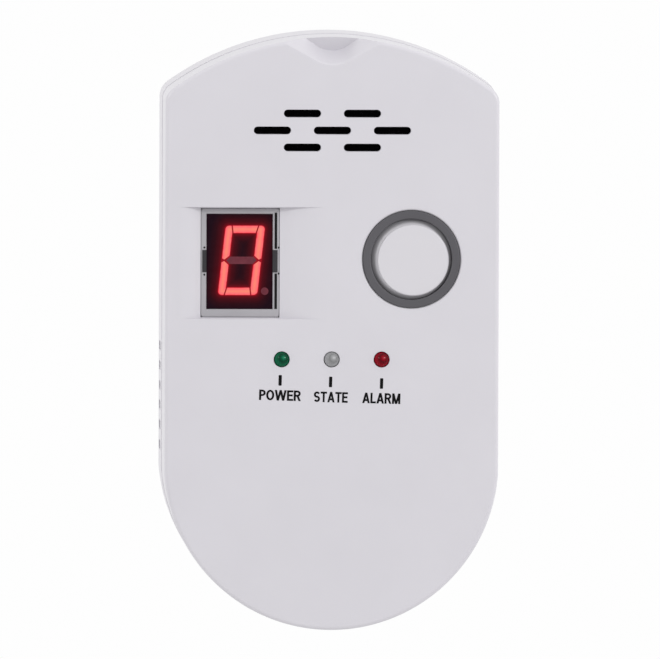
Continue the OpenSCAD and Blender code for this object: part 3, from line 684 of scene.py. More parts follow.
def front_shell():
    """The front housing: an outer skin with draft and an edge radius, the lip at the seam, the cavity and the
    bosses."""
    seam = SEAM_Y - SEAM_GAP / 2
    levels = [(FACE_Y + fall, DRAFT + rest) for fall, rest in quarter(EDGE_R, 10)]
    levels += [(seam - away, REVEAL + inset) for away, inset in SEAM_ROUND]
    levels += [(seam, LIP_OUT), (SEAM_Y + LIP_L, LIP_OUT), (SEAM_Y + LIP_L, CAVITY), (FACE_IN_Y, CAVITY)]
    shell = skin_body("front_shell", levels)

    sunk = FACE_IN_Y - 0.3
    pad_ends = (DISPLAY_Z - 13, DISPLAY_Z + 12.5)
    add(shell, box("pad", SCOOP_LEFT + 1, SCOOP_RIGHT + 1, sunk, PAD_BACK_Y, *pad_ends))
    add(shell, box("notch_back", -10.5, 10.5, sunk, FACE_IN_Y + 3, 46.6, 49.35))
    add(shell, rod("collar", 0, SPEAKER.z, sunk, FACE_IN_Y + 5, COLLAR_R, 72))
    for x, z in SCREW_AT:
        add(shell, rod("bush", x, z, sunk, SEAM_Y, BUSH_R))
    for x, z in BOARD_SCREW_AT:
        add(shell, rod("post", x, z, sunk, BOARD_Y, POST_R))

    cut(shell, rod("speaker_room", 0, SPEAKER.z, FACE_IN_Y, FACE_IN_Y + 6, SPEAKER_ROOM_R, 72))
    half_w, half_h = CLOTH_ROOM
    ends = (SLOT_Z - half_h, SLOT_Z + half_h)
    cut(shell, box("cloth_room", -half_w, half_w, FACE_IN_Y, FACE_IN_Y + 0.6, *ends))
    bores = [rod("bore", x, z, REAR_Y - 24, SEAM_Y + 1, 1.5, 24) for x, z in SCREW_AT]
    bores += [rod("bore", x, z, BOARD_Y - 6.5, BOARD_Y + 1, SMALL_BORE_R, 24) for x, z in BOARD_SCREW_AT]
    cut(shell, joined("bores", bores))

    through = FACE_IN_Y + 1
    holes = []
    for row, count in SLOT_ROWS.items():
        for i in range(count):
            at = ((i - (count - 1) / 2) * SLOT_PITCH, SLOT_Z + row * SLOT_ROW)
            holes.append(lipped("slot", slot_shape(SLOT_L, SLOT_W), at, FACE_Y, through, 0.1))
    lamp_shape = round_shape(LENS_R + 0.01, 64)
    for x in LAMPS.values():
        holes.append(lipped("lamp_hole", lamp_shape, (x, LAMP_Z), FACE_Y, through, 0.04))
    centre = (BUTTON.x, BUTTON.z)
    holes.append(lipped("button_hole", round_shape(RING_R, 96), centre, FACE_Y, through, 0.5))
    cut(shell, joined("holes", holes))

    cut(shell, scoop_tool())
    window = [FRAME_X - FRAME_HALF_W, FRAME_X + FRAME_HALF_W, FACE_Y - 1, PAD_BACK_Y + 1]
    cut(shell, box("window", *window, FRAME_Z - FRAME_HALF_H, FRAME_Z + FRAME_HALF_H))
    cut(shell, notch_tool())
    return smooth(shell)


piece(front_shell(), "case", "white_shell", white_shell, "front_housing")


# ---------- rear housing ----------


REAR_BUSH_R = 4.4
REAR_POST_R = 2.4
SCREW_WAY_R = 1.7
SCREW_SEAT_R = 3.2
PIN_X = 9.5
VENTS = 6
VENT_W = 1.8
VENT_PITCH = 4
SIDE_VENT_L = 9


def rear_shell():
    """The rear housing: skin, cavity, plug boss, screw bushes, vents and the label's seat."""
    seam = SEAM_Y + SEAM_GAP / 2
    deep = SEAM_Y + LIP_L + 0.2
    levels = [(REAR_Y - fall, REAR_DRAFT + rest) for fall, rest in quarter(REAR_ROUND, 10)]
    levels += [(seam + away, REAR_REVEAL + inset) for away, inset in SEAM_ROUND]
    levels += [(seam, LIP_IN), (deep, LIP_IN), (deep, CAVITY), (REAR_IN_Y, CAVITY)]
    shell = skin_body("rear_shell", levels)

    inner = BOSS_R - BOSS_WALL
    cut(shell, rod("boss_way", 0, 0, REAR_IN_Y - 1, REAR_Y + 1, inner, 96))
    fillet = [(BOSS_R + rest, REAR_Y + fall) for fall, rest in quarter(BOSS_FILLET, 6)]
    edge = [(BOSS_R - fall, -rest) for fall, rest in quarter(BOSS_EDGE, 6)]
    boss = [(inner, REAR_Y - 0.9), (BOSS_R + BOSS_FILLET, REAR_Y - 0.9)] + fillet + edge
    boss += [(0, 0), (0, -BOSS_FACE_T), (inner, -BOSS_FACE_T)]
    add(shell, lathe("boss", boss, 0, 0, 96))
    for x, z in SCREW_AT:
        add(shell, rod("bush", x, z, SEAM_Y, REAR_IN_Y + 0.5, REAR_BUSH_R))
    for x, z in POWER_SCREW_AT:
        add(shell, rod("post", x, z, REAR_IN_Y - 3.5, REAR_IN_Y + 0.5, REAR_POST_R))

    bores = [rod("bore", x, z, SEAM_Y - 1, REAR_Y + 1, SCREW_WAY_R, 24) for x, z in SCREW_AT]
    post_ends = (REAR_IN_Y - 4.5, REAR_IN_Y + 0.6)
    bores += [rod("bore", x, z, *post_ends, SMALL_BORE_R, 24) for x, z in POWER_SCREW_AT]
    bores += [rod("bore", x, z, -BOSS_FACE_T - 1, -1.4, SMALL_BORE_R, 24) for x, z in CARRIER_SCREW_AT]
    bores += [rod("bore", side * PIN_X, 0, -BOSS_FACE_T - 1, 1, 3, 64) for side in (-1, 1)]
    cut(shell, joined("bores", bores))
    seat = round_shape(SCREW_SEAT_R, 40)
    seats = [lipped("seat", seat, at, REAR_Y, REAR_Y - 9, 0.3, outward=1) for at in SCREW_AT]
    for i in range(VENTS):
        vent = slot_shape(26 - abs(i - 2) * 2, VENT_W)
        seats.append(lipped("vent", vent, (0, -26 - i * VENT_PITCH), REAR_Y, REAR_IN_Y - 1, 0.2, outward=1))
    cut(shell, joined("seats", seats))

    side_vents = []
    vent_y = (SEAM_Y + REAR_Y) / 2 + 0.5
    for side in (-1, 1):
        ends = (side * (BODY_HALF - 6), side * (BODY_HALF + 6))
        for i in range(VENTS):
            ring = [(vent_y + u, -12 - i * VENT_PITCH + v) for u, v in stadium(SIDE_VENT_L, VENT_W)]
            side_vents.append(loft("vent", [[(x, y, z) for y, z in ring] for x in ends]))
    cut(shell, joined("side_vents", side_vents))
    for side in (-1, 1):
        z0, z1 = sorted((side * (BOSS_R - 1.5), side * (BOSS_R + 1.5)))
        cut(shell, box("earth_notch", -2.8, 2.8, REAR_Y + 1.4, 1, z0, z1))
    cut(shell, box("label_seat", -17, 17, REAR_Y - 0.2, REAR_Y + 1, 26, 43))
    return smooth(shell)


piece(rear_shell(), "case", "rear_shell", rear_shell_paint, "rear_housing")


# ---------- test button ----------

RING_HOLE_R = 8.1
RING_ROUND = 0.2
# The cap's outline from its face to its foot: radius, depth below the face
CAP_R = 7.16
CAP_ROUND = 0.34
CAP_WALL = [(7.3, 0.46), (7.5, 0.6), (7.7, 0.72), (7.9, 0.83), (8.06, 0.95), (8.08, 1.1), (8.08, 2.6)]
CAP_HUB_R = 3.5
CAP_INNER_R = 6.2
STEM_R = 2
CAP_FOOT = 0.95
CAP_Y = limits("test_button")[0].y
FACE_ASIDE = (0.34, -0.22)


def button_cap():
    """The cap: a flat disc with a rounded edge, a tapered wall, its flange and the stem for the switch.
    It hangs a little askew in its ring, as a loose cap does, so its face sits aside from its foot."""
    high = limits("test_button")[1]
    back = FACE_IN_Y + 1.05
    flange = high.x - BUTTON.x
    profile = [(0, CAP_Y, *FACE_ASIDE), (CAP_HUB_R, CAP_Y, *FACE_ASIDE)]
    profile += [(CAP_R - fall, CAP_Y + rest, *FACE_ASIDE) for fall, rest in quarter(CAP_ROUND)[::-1]]
    for r, depth in CAP_WALL:
        share = min(depth / CAP_FOOT, 1)
        aside = [face * (1 - share) for face in FACE_ASIDE]
        profile.append((r, CAP_Y + depth, *aside))
    profile += [(CAP_WALL[-1][0], back), (flange, back), (flange, back + 1), (CAP_INNER_R, back + 1)]
    profile += [(CAP_INNER_R, CAP_Y + 2), (STEM_R, CAP_Y + 2), (STEM_R, high.y), (0, high.y)]
    return smooth(lathe("button_cap", profile, BUTTON.x, BUTTON.z, 128), 40)


def button_ring():
    """The dark ring round the cap, with soft edges and a flange behind the face."""
    ring_y = limits("button_ring")[0].y
    inner = [(RING_HOLE_R + fall, ring_y + 2 * rest) for fall, rest in quarter(RING_ROUND)]
    side = RING_R - 0.03
    outer = [(side - fall, ring_y + rest) for fall, rest in quarter(RING_ROUND)[::-1]]
    back = FACE_IN_Y + 1
    profile = inner + outer + [(side, FACE_IN_Y), (side + 1, FACE_IN_Y), (side + 1, back)]
    profile += [(RING_HOLE_R, back)]
    return smooth(lathe("button_ring", profile, BUTTON.x, BUTTON.z, 160), 40)


# The cap's wall turns darker toward its foot: painted shade in the crevice between the cap and the ring.
cap_paint = moulded_with_painted_shade("button_cap", (0.668, 0.652, 0.688), (0.23, 0.225, 0.24), CAP_Y + 0.3, CAP_Y + CAP_FOOT)
piece(button_cap(), "button", "button_cap", cap_paint, "test_button")
piece(button_ring(), "case", "button_ring", ring_grey, "button_ring")


# ---------- display ----------

DIGIT_H = 13.9
DIGIT_W = 7.9
DIGIT_X = DISPLAY_X + 0.18
DIGIT_Z = DISPLAY_Z + 0.22
STROKE = 1.48
LEAN = math.tan(math.radians(6.4))
SEG_X = (DIGIT_W - STROKE) / 2
SEG_Z = (DIGIT_H - STROKE) / 2
SEG_OUTER = DIGIT_W / 2
SEG_INNER = SEG_OUTER - STROKE
SEG_TOP = DIGIT_H / 2
SEG_ROUND = 0.8
SEG_SLANT = 1.15
SEG_GAP = 0.28
POINT_AT = (DISPLAY_X + 4.85, DISPLAY_Z - 5.95)
POINT_R = 0.75
GLOW_REACH = 2.9


def leaned(points):
    """Digit points leaned over and moved to the digit's place."""
    return [(DIGIT_X + x + z * LEAN, DIGIT_Z + z) for x, z in points]


def upright(side, end):
    """One of the four upright segments: a rounded outer corner, a slanted cut where the cross bars meet
    it, and a pointed end at the digit's middle."""
    corner = arc(SEG_OUTER - SEG_ROUND, SEG_TOP - SEG_ROUND, SEG_ROUND, 0, 90, 8)
    points = [(SEG_INNER, 0.95), (SEG_OUTER - 0.5, 0.16), (SEG_OUTER, 0.42)] + corner
    points += [(SEG_OUTER - SEG_SLANT, SEG_TOP), (SEG_INNER, SEG_TOP - STROKE)]
    return [(side * x, end * z) for x, z in points]


def cross_bar(end):
    """The top or bottom bar, with slanted ends that leave a hair's gap to the uprights."""
    long, short = SEG_OUTER - SEG_SLANT - SEG_GAP, SEG_INNER - SEG_GAP
    points = [(-long, SEG_TOP), (long, SEG_TOP), (short, SEG_TOP - STROKE), (-short, SEG_TOP - STROKE)]
    return [(x, end * z) for x, z in points]


def middle_bar():
    """The pointed bar across the digit's middle."""
    reach = SEG_INNER + 0.58
    t = STROKE / 2
    return [(-reach, 0), (-reach + t, t), (reach - t, t), (reach, 0), (reach - t, -t), (-reach + t, -t)]


def flat(name, shapes, y0, y1):
    """Several flat outlines as one object of thin plates."""
    return joined(name, [prism("plate", shape, y0, y1) for shape in shapes])


def bar_distance(p, a, b):
    """The distance from the shaded point to a bar's centre line, in metres, in the X and Z plane."""
    (ax, az), (bx, bz) = leaned([a, b])
    length = math.hypot(bx - ax, bz - az)
    ux, uz = (bx - ax) / length, (bz - az) / length
    flat_place = p.vector("MULTIPLY", p.place, (1, 0, 1))[0]
    from_a = p.vector("SUBTRACT", flat_place, (ax * MM, 0, az * MM))[0]
    along = p.vector("DOT_PRODUCT", from_a, (ux, 0, uz))["Value"]
    kept = p.node("ShaderNodeClamp")
    kept.inputs["Max"].default_value = length * MM
    p.link(along, kept.inputs["Value"])
    foot = p.node("ShaderNodeVectorMath", operation="SCALE")
    foot.inputs[0].default_value = (ux, 0, uz)
    p.link(kept.outputs[0], foot.inputs["Scale"])
    return p.vector("DISTANCE", from_a, foot.outputs[0])["Value"]


LIT_BARS = [
    ((-SEG_X, SEG_Z), (SEG_X, SEG_Z)),
    ((-SEG_X, -SEG_Z), (SEG_X, -SEG_Z)),
    ((-SEG_X, -SEG_Z), (-SEG_X, SEG_Z)),
    ((SEG_X, -SEG_Z), (SEG_X, SEG_Z)),
]


def nearest_bar(p):
    """The distance from the shaded point to the nearest lit bar's centre line, in metres."""
    nearest = bar_distance(p, *LIT_BARS[0])
    for a, b in LIT_BARS[1:]:
        nearest = p.maths("MINIMUM", nearest, bar_distance(p, a, b))[0]
    return nearest


def display_black():
    """The display's black face, with the red light that spreads under it from the lit bars."""
    p = Paint("display_black")
    near = p.between(nearest_bar(p), STROKE / 2 + GLOW_REACH, STROKE / 2)
    stops = [
        (0, (0.008, 0.0006, 0.0040)),
        (0.4, (0.022, 0.0005, 0.0030)),
        (0.75, (0.060, 0.0007, 0.0035)),
        (0.92, (0.13, 0.001, 0.005)),
        (1, (0.34, 0.004, 0.012)),
    ]
    p.link(p.ramp(near, stops), p.shader.inputs["Emission Color"])
    p.set(Emission_Strength=1.0, Specular_IOR_Level=0.05)
    p.tone(p.noise(1.2, 3), [(0.3, (0.0030, 0.0020, 0.0028)), (0.8, (0.0060, 0.0036, 0.0052))])
    p.gloss(p.noise(0.8, 3), 0.32, 0.45)
    p.bump(p.noise(0.3, 2), 0.15, 0.006)
    return p.material


def segment_lit():
    """A lit bar: hot and pale in the middle of its stroke, redder at its rim and a little uneven."""
    p = Paint("segment_lit")
    inside = p.between(nearest_bar(p), 0, STROKE / 2)
    uneven = p.maths("ADD", inside, p.spread(p.noise(1.4, 3), -0.3, 0.3))[0]
    stops = [
        (0, (1.0, 0.250, 0.170)),
        (0.45, (1.0, 0.190, 0.180)),
        (0.8, (1.0, 0.150, 0.165)),
        (0.93, (1.0, 0.085, 0.105)),
        (1, (0.96, 0.030, 0.050)),
    ]
    p.link(p.ramp(uneven, stops), p.shader.inputs["Emission Color"])
    p.set(Emission_Strength=0.97, Roughness=0.5, Specular_IOR_Level=0.1)
    p.tone(p.noise(0.5, 2), [(0.3, (0.02, 0.003, 0.003)), (0.8, (0.05, 0.008, 0.008))])
    return p.material


def segment_dull():
    """An unlit bar: milky resin stained by the light beside it."""
    p = Paint("segment_dull")
    p.tone(p.noise(0.9, 3), [(0.3, (0.100, 0.025, 0.038)), (0.8, (0.135, 0.038, 0.052))])
    p.gloss(p.noise(0.5, 2), 0.45, 0.6)
    p.shader.inputs["Emission Color"].default_value = (1, 0.02, 0.03, 1)
    p.set(Emission_Strength=0.03, Specular_IOR_Level=0.1)
    return p.material


def rounded_plate(inset, round_r):
    """The display frame's outline with rounded corners, drawn in by a distance, as (x, z)."""
    corners = []
    for side_x, side_z, start in ((1, 1, 0), (-1, 1, 90), (-1, -1, 180), (1, -1, 270)):
        cx = FRAME_X + side_x * (FRAME_HALF_W - inset - round_r)
        cz = FRAME_Z + side_z * (FRAME_HALF_H - inset - round_r)
        corners += arc(cx, cz, round_r, start, start + 90, 5)
    return corners


FRAME_FRONT_Y = SCOOP_FLOOR_Y
CLIP_LOW = -2.15
CLIP_HIGH = 2.3


def display_frame():
    """The grey bezel: a flat frame with a soft outer edge, a flange behind the pad and a window."""
    back = limits("display_frame")[1].y
    soft, flange, rim = 0.22, 1, 0.16
    levels = [(FRAME_FRONT_Y + fall, rest) for fall, rest in quarter(soft, 4)]
    levels += [(PAD_BACK_Y, 0), (PAD_BACK_Y, -flange), (back, -flange)]
    loops = [[(x, y, z) for x, z in rounded_plate(inset + 0.05, 0.5)] for y, inset in levels]
    bezel = loft("display_frame", loops)
    half_z = DISPLAY_H / 2 + 0.05
    rings = [(FRAME_FRONT_Y - 1, rim), (FRAME_FRONT_Y, rim), (FRAME_FRONT_Y + rim, 0), (back + 1, 0)]
    loops = []
    for y, grow in rings:
        x0, x1 = FACE_LEFT - 0.05 - grow, FACE_RIGHT + 0.05 + grow
        z0, z1 = DISPLAY_Z - half_z - grow, DISPLAY_Z + half_z + grow
        loops.append([(x0, y, z0), (x1, y, z0), (x1, y, z1), (x0, y, z1)])
    cut(bezel, loft("opening", loops))
    return smooth(bezel, 35)


def display_painted_shade():
    """A black strip along the bezel's right side, above and below the clip: painted shade standing in for the
    groove there.
    """
    y = FRAME_FRONT_Y - 0.02
    x = FACE_RIGHT + 0.4
    spans = [(-DISPLAY_H / 2, CLIP_LOW - 0.25), (CLIP_HIGH + 0.25, DISPLAY_H / 2 + 0.3)]
    return [box("strip", x, x + 0.52, y, y + 0.3, DISPLAY_Z + low, DISPLAY_Z + high) for low, high in spans]


def display_clips():
    """The two clips that hold the display, at the middle of each side."""
    y = FRAME_FRONT_Y - 0.12
    ends = (DISPLAY_Z + CLIP_LOW, DISPLAY_Z + CLIP_HIGH)
    return [
        box("clip", FACE_RIGHT + 0.02, FACE_RIGHT + 1.0, y, y + 0.6, *ends),
        box("clip", FACE_LEFT - 0.86, FACE_LEFT - 0.04, y, y + 0.6, *ends),
    ]


def display_painted_hole_shade():
    """Four small black discs on the bezel, above and below the clips: painted shade standing in for small
    holes.
    """
    y = FRAME_FRONT_Y - 0.02
    left, right = FACE_LEFT - 0.45, FACE_RIGHT + 1.25
    places = [(left, 2.8), (left, -2.65), (right, 2.8), (right, -2.4)]
    return [rod("hole_shade_disc", x, DISPLAY_Z + z, y, y + 0.3, 0.2, 16) for x, z in places]


# Black plates on the bezel: painted shade for its groove and its small holes
painted_shade_black = moulded("painted_shade_black", (0.006, 0.006, 0.007), 0.5, vary=0.1, specular=0.15)
dull = segment_dull()

piece(display_frame(), "case", "frame_grey", frame_grey, "display_frame")
piece(smooth(joined("display_clips", display_clips())), "case", "frame_grey", clip_grey)
shade_plates = smooth(joined("display_painted_shade", display_painted_shade() + display_painted_hole_shade()))
piece(shade_plates, "case", "display_black", painted_shade_black)

SEG_Y = DISPLAY_Y - 0.02
face_ends = (DISPLAY_Z - DISPLAY_H / 2, DISPLAY_Z + DISPLAY_H / 2)
face_plate = box("display_face", FACE_LEFT, FACE_RIGHT, DISPLAY_Y, DISPLAY_Y + 0.78, *face_ends)
piece(smooth(face_plate), "case", "display_black", display_black(), "display_face")
lit_shapes = [leaned(upright(sx, sz)) for sx in (-1, 1) for sz in (-1, 1)]
lit_shapes += [leaned(cross_bar(end)) for end in (-1, 1)]
lit_bars = flat("display_segments", lit_shapes, SEG_Y, SEG_Y + 0.3)
piece(lit_bars, "case", "segment_lit", segment_lit(), "display_segments")
dull_bar = flat("display_middle_segment", [leaned(middle_bar())], SEG_Y, SEG_Y + 0.3)
piece(dull_bar, "case", "segment_off", dull, "display_middle_segment")
point = rod("display_point", *POINT_AT, SEG_Y, SEG_Y + 0.3, POINT_R, 40)
piece(point, "case", "segment_off", dull, "display_point")


# ---------- lamps and print ----------

LAMP_TIP_Y, LAMP_BASE_Y = [corner.y for corner in limits("lamp_state")]


def lamp(name, x):
    """A 3 mm lamp: a domed body and a flange."""
    flange_y = LAMP_BASE_Y - 0.9
    dome = [(LENS_R - rest, LAMP_TIP_Y + fall) for fall, rest in quarter(LENS_R, 16)]
    profile = dome + [(LENS_R, flange_y), (1.9, flange_y), (1.9, LAMP_BASE_Y), (0, LAMP_BASE_Y)]
    return smooth(lathe(name, profile, x, LAMP_Z, 64), 50)


# Each lamp's resin: its name, its colour, the darker colour of the painted ring, the painted highlight's
# colour and its cloudiness
RESINS = {
    "lamp_power": ("lamp_green", (0.001, 0.105, 0.046), (0.0008, 0.042, 0.019), (0.030, 0.26, 0.14), 0.25),
    "lamp_state": ("lamp_clear", (0.33, 0.33, 0.34), (0.23, 0.23, 0.235), (0.55, 0.55, 0.56), 0.5),
    "lamp_alarm": ("lamp_red", (0.24, 0.0005, 0.009), (0.085, 0.0004, 0.004), (0.40, 0.040, 0.055), 0.25),
}
# Where each lamp's painted highlight sits: right of and above the lamp's middle, at its tip
HIGHLIGHT_ASIDE = (0.42, 0.38)
for name, x in LAMPS.items():
    slot, colour, deep, highlight_colour, clear = RESINS[name]
    highlight_at = (x + HIGHLIGHT_ASIDE[0], LAMP_TIP_Y, LAMP_Z + HIGHLIGHT_ASIDE[1])
    piece(lamp(name, x), "case", slot, resin(slot, highlight_at, colour, deep, highlight_colour, clear), name)

black_ink = ink()
INK_Y = FACE_Y - 0.02
INK_T = 0.12
CAP_H = 2.1
PRINT_TILT = math.radians(-1.5)
# Each lamp's mark: its middle, then its word, the word's width and the word's middle
MARKS = [
    ((-10.3, -17.5), "POWER", 8.4, (-10.3, -20.5)),
    ((-0.2, -17.8), "STATE", 6.8, (-0.15, -20.84)),
    ((10.0, -18.1), "ALARM", 7.6, (9.95, -21.06)),
]
INK_W = 0.185
HALF_W = INK_W / 2
LETTER_GAP = 0.045


def leaning(x0, z0, x1, z1):
    """A letter's bar between two heights, with level ends. Capitals are 1 high."""
    half = HALF_W * math.hypot(x1 - x0, z1 - z0) / abs(z1 - z0)
    return [(x0 - half, z0), (x0 + half, z0), (x1 + half, z1), (x1 - half, z1)]


def level(x0, x1, z):
    """A letter's level bar, given by its middle height."""
    return [(x0, z - HALF_W), (x1, z - HALF_W), (x1, z + HALF_W), (x0, z + HALF_W)]


def bent(points):
    """A letter's bar of even width along a line of points."""
    sides = ([], [])
    for i, (x, z) in enumerate(points):
        before, after = points[max(i - 1, 0)], points[min(i + 1, len(points) - 1)]
        dx, dz = after[0] - before[0], after[1] - before[1]
        reach = HALF_W / math.hypot(dx, dz)
        for side, way in zip(sides, (1, -1)):
            side.append((x - way * dz * reach, z + way * dx * reach))
    return sides[0] + sides[1][::-1]


def bowl(wide, low):
    """The round part of P and R, down to the given middle height."""
    r = (1 - HALF_W - low) / 2
    return bent([(HALF_W, 1 - HALF_W)] + arc(wide - HALF_W - r, low + r, r, 90, -90, 12) + [(HALF_W, low)])


def curl(wide):
    """The two turns of an S."""
    r = (1 - INK_W) / 4
    across = wide / 2 - HALF_W
    upper = arc(wide / 2, 1 - HALF_W - r, r, 25, 265, 16, across)
    lower = arc(wide / 2, HALF_W + r, r, 85, -155, 16, across)
    return bent(upper + lower)


def oval(wide, start):
    """A little over half of an O."""
    return bent(arc(wide / 2, 0.5, 0.5 - HALF_W, start, start + 190, 24, wide / 2 - HALF_W))


STEM = leaning(HALF_W, 0, HALF_W, 1)
W_BARS = [(0.28, 0.09), (0.28, 0.51), (0.74, 0.51), (0.74, 0.93)]
# Each letter's width and its bars
LETTERS = {
    "A": (0.70, [leaning(0.10, 0, 0.35, 1), leaning(0.60, 0, 0.35, 1), level(0.2, 0.5, 0.29)]),
    "E": (0.54, [STEM, level(0.05, 0.54, HALF_W), level(0.05, 0.50, 0.52), level(0.05, 0.54, 1 - HALF_W)]),
    "L": (0.50, [STEM, level(0.05, 0.50, HALF_W)]),
    "M": (0.74, [STEM, leaning(0.37, 0, 0.10, 1), leaning(0.37, 0, 0.64, 1), leaning(0.6575, 0, 0.6575, 1)]),
    "O": (0.70, [oval(0.70, 0), oval(0.70, 180)]),
    "P": (0.57, [STEM, bowl(0.57, 0.48)]),
    "R": (0.64, [STEM, bowl(0.60, 0.50), leaning(0.53, 0, 0.33, 0.5)]),
    "S": (0.59, [curl(0.59)]),
    "T": (0.60, [leaning(0.30, 0, 0.30, 1), level(0, 0.60, 1 - HALF_W)]),
    "W": (1.02, [leaning(foot, 0, top, 1) for foot, top in W_BARS]),
}


def printed(shape, place):
    """A flat outline about the origin as a film of ink, turned by the print's tilt and moved to its place."""
    c, s = math.cos(PRINT_TILT), math.sin(PRINT_TILT)
    at_x, at_z = place
    turned = [(at_x + x * c - z * s, at_z + x * s + z * c) for x, z in shape]
    return prism("ink", turned, INK_Y, INK_Y + INK_T)


def word_print(word, width, place):
    """A word's letters, each one a single solid, with the middle of the word at the place."""
    natural = sum(LETTERS[letter][0] for letter in word) + LETTER_GAP * (len(word) - 1)
    across = width / natural
    letters = []
    start = -natural / 2
    for letter in word:
        wide, bars = LETTERS[letter]
        solids = []
        for bar in bars:
            solids.append(printed([((start + x) * across, (z - 0.5) * CAP_H) for x, z in bar], place))
        add(solids[0], *solids[1:])
        letters.append(solids[0])
        start += wide + LETTER_GAP
    return letters


def tick(place):
    """The short upright mark below a lamp, with rounded corners."""
    top = arc(0.325 - 0.15, 1.06 - 0.15, 0.15, 0, 90, 4)
    upper = top + [(-x, z) for x, z in top[::-1]]
    return printed(upper + [(x, -z) for x, z in upper[::-1]], place)


prints = []
for tick_at, word, width, word_at in MARKS:
    prints += [tick(tick_at)] + word_print(word, width, word_at)
piece(joined("print", prints), "case", "black_plastic", black_ink)


# ---------- the pieces carried over from the CAD frame ----------

CHIPS = ["microcontroller", "regulator", "chip_resistors", "rectifier_diodes"]
CARRIED = {
    zinc: ["housing_screws", "carrier_screws", "main_board_screws", "power_board_screws"],
    nickel: ["pin_left", "pin_right"],
    tin: ["display_pins", "lamp_leads", "tact_pins", "sensor_pins"],
    carrier_cream: ["pin_carrier"],
    label_film(): ["rating_plate"],
    moulded("display_case", (0.03, 0.028, 0.032), 0.4, grain=0.15, vary=0.12): ["display_case"],
    spacer_nylon: ["lamp_spacers"],
    board_paint("main_board", (0.010, 0.085, 0.030), (0.045, 0.17, 0.06)): ["main_board"],
    board_paint("power_board", (0.30, 0.19, 0.07), (0.42, 0.28, 0.12)): ["power_board"],
    basket_steel: ["speaker_basket", "speaker_magnet"],
    paper_cone(): ["speaker_cone"],
    woven("cloth", (0.0025, 0.002, 0.0025)): ["speaker_cloth"],
    black_plastic: ["tact_switch", "tact_plunger", *CHIPS],
    woven("sensor_mesh", (0.55, 0.54, 0.52), 0.45, wire=True): ["sensor_cap"],
    bakelite: ["sensor_base"],
    trimmer_blue: ["trimmer"],
    sleeve_dark: ["board_capacitor", "smoothing_capacitors"],
    connector_white: ["board_connector", "transformer_bobbin"],
    laminated("core_steel", (0.22, 0.21, 0.20)): ["transformer_core"],
    taped("winding_tape", (0.72, 0.50, 0.06)): ["transformer_winding"],
    fuse_ceramic: ["fuse"],
    varistor_blue: ["varistor"],
    wire_brown: ["mains_leads"],
    wire_red: ["board_lead"],
    wire_black: ["speaker_leads"],
}
for paint, names in CARRIED.items():
    for name in names:
        node = nodes[name]
        node.data.materials.clear()
        node.data.materials.append(paint)


# ---------- stage, light and camera ----------


def stage_paint(name, colour):
    """A pale studio surface with the faintest cloudiness."""
    p = Paint(name)
    p.tone(p.noise(400, 2), [(0.3, tinted(colour, 0.99)), (0.7, colour)])
    p.set(Roughness=0.9, Specular_IOR_Level=0.1)
    return p.material


def floor():
    """A wide pale floor, well below the part, which hangs in its socket."""
    far, floor_z = 7000, -2200
    bm = bmesh.new()
    corners = [(-far, -far), (far, -far), (far, far), (-far, far)]
    bm.faces.new([bm.verts.new((x, y, floor_z)) for x, y in corners])
    sheet = new_object("floor", bm)
    sheet.data.materials.append(stage_paint("floor_paint", (0.93, 0.93, 0.93)))


# The studio's brightness along Y, from behind the camera (0) to behind the part (1)
TENT = [(0, 0.58), (0.17, 0.73), (0.33, 0.95), (0.55, 1.02), (0.8, 0.95)]


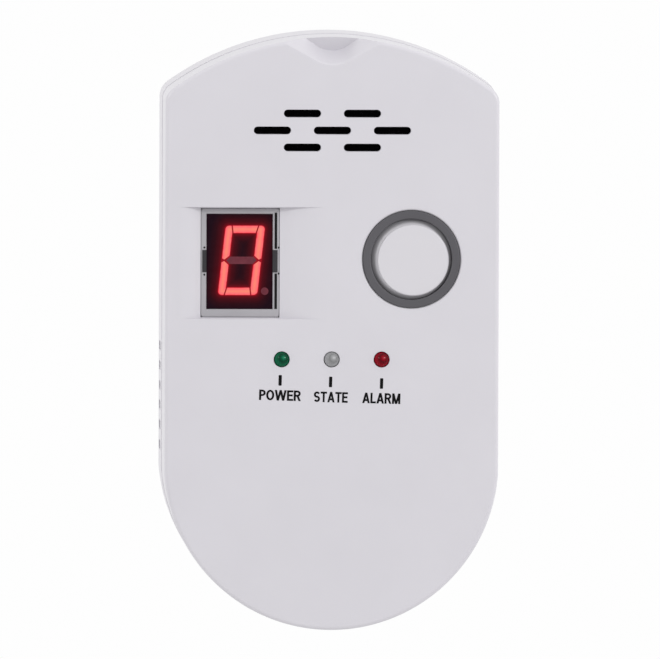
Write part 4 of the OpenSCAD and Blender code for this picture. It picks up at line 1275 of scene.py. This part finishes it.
def studio_world():
    """A light tent, a little brighter from the sides, and a white backing that only the camera sees."""
    world = bpy.data.worlds.new("studio")
    world.use_nodes = True
    tree = world.node_tree
    make, link = tree.nodes.new, tree.links.new
    split = make("ShaderNodeSeparateXYZ")
    link(make("ShaderNodeTexCoord").outputs["Generated"], split.inputs[0])
    along = make("ShaderNodeMapRange")
    along.inputs["From Min"].default_value = -1
    link(split.outputs["Y"], along.inputs["Value"])
    peak = max(power for _, power in TENT)
    grade = make("ShaderNodeValToRGB")
    bar = grade.color_ramp.elements
    for i, (at, power) in enumerate(TENT):
        stop = bar[i] if i < 2 else bar.new(at)
        stop.position = at
        stop.color = (power / peak, power / peak, power / peak, 1)
    link(along.outputs["Result"], grade.inputs["Fac"])
    light = tree.nodes["Background"]
    light.inputs["Strength"].default_value = peak
    link(grade.outputs["Color"], light.inputs["Color"])
    white = make("ShaderNodeBackground")
    white.inputs["Color"].default_value = (1, 1, 1, 1)
    white.inputs["Strength"].default_value = 0.99
    mix = make("ShaderNodeMixShader")
    link(make("ShaderNodeLightPath").outputs["Is Camera Ray"], mix.inputs["Fac"])
    link(light.outputs[0], mix.inputs[1])
    link(white.outputs[0], mix.inputs[2])
    link(mix.outputs[0], tree.nodes["World Output"].inputs["Surface"])
    bpy.context.scene.world = world


def direction(azimuth, elevation):
    """The way out from the part's face, turned to the right and up."""
    a, e = math.radians(azimuth), math.radians(elevation)
    return Vector((math.sin(a) * math.cos(e), -math.cos(a) * math.cos(e), math.sin(e)))


def aim(thing, target, way, distance, roll=0):
    """Puts a light or a camera at a distance from a point, facing it; lengths in millimetres."""
    thing.location = (target + way * distance) * MM
    turn = (-way).to_track_quat("-Z", "Y") @ Quaternion((0, 0, 1), math.radians(roll))
    thing.rotation_euler = turn.to_euler()
    bpy.context.scene.collection.objects.link(thing)


def softbox(name, azimuth, elevation, power):
    """A square soft light that faces the middle of the part."""
    data = bpy.data.lights.new(name, "AREA")
    data.shape = "SQUARE"
    data.size = SOFTBOX_SIZE * MM
    data.energy = power
    aim(bpy.data.objects.new(name, data), HEART, direction(azimuth, elevation), SOFTBOX_DISTANCE)


def camera():
    """The camera: far off, nearly level, with a long lens that frames the part."""
    lens = bpy.data.cameras.new("camera")
    lens.lens = lens.sensor_width * CAMERA_DISTANCE / FRAME_W
    lens.clip_end = 20
    seen = bpy.data.objects.new("camera", lens)
    aim(seen, TARGET, direction(-1.75, 2.85), CAMERA_DISTANCE, 0.2)
    bpy.context.scene.camera = seen


HEART = Vector((0, FACE_Y, -7))
SOFTBOX_SIZE = 160
SOFTBOX_DISTANCE = 800
CAMERA_DISTANCE = 3000
FRAME_W = 132
TARGET = Vector((-0.36, FACE_Y, -7.3))

floor()
studio_world()
softbox("key", -50, 24, 1.1)
softbox("fill", 54, 22, 1.8)
camera()
bpy.context.scene.view_settings.view_transform = "Standard"
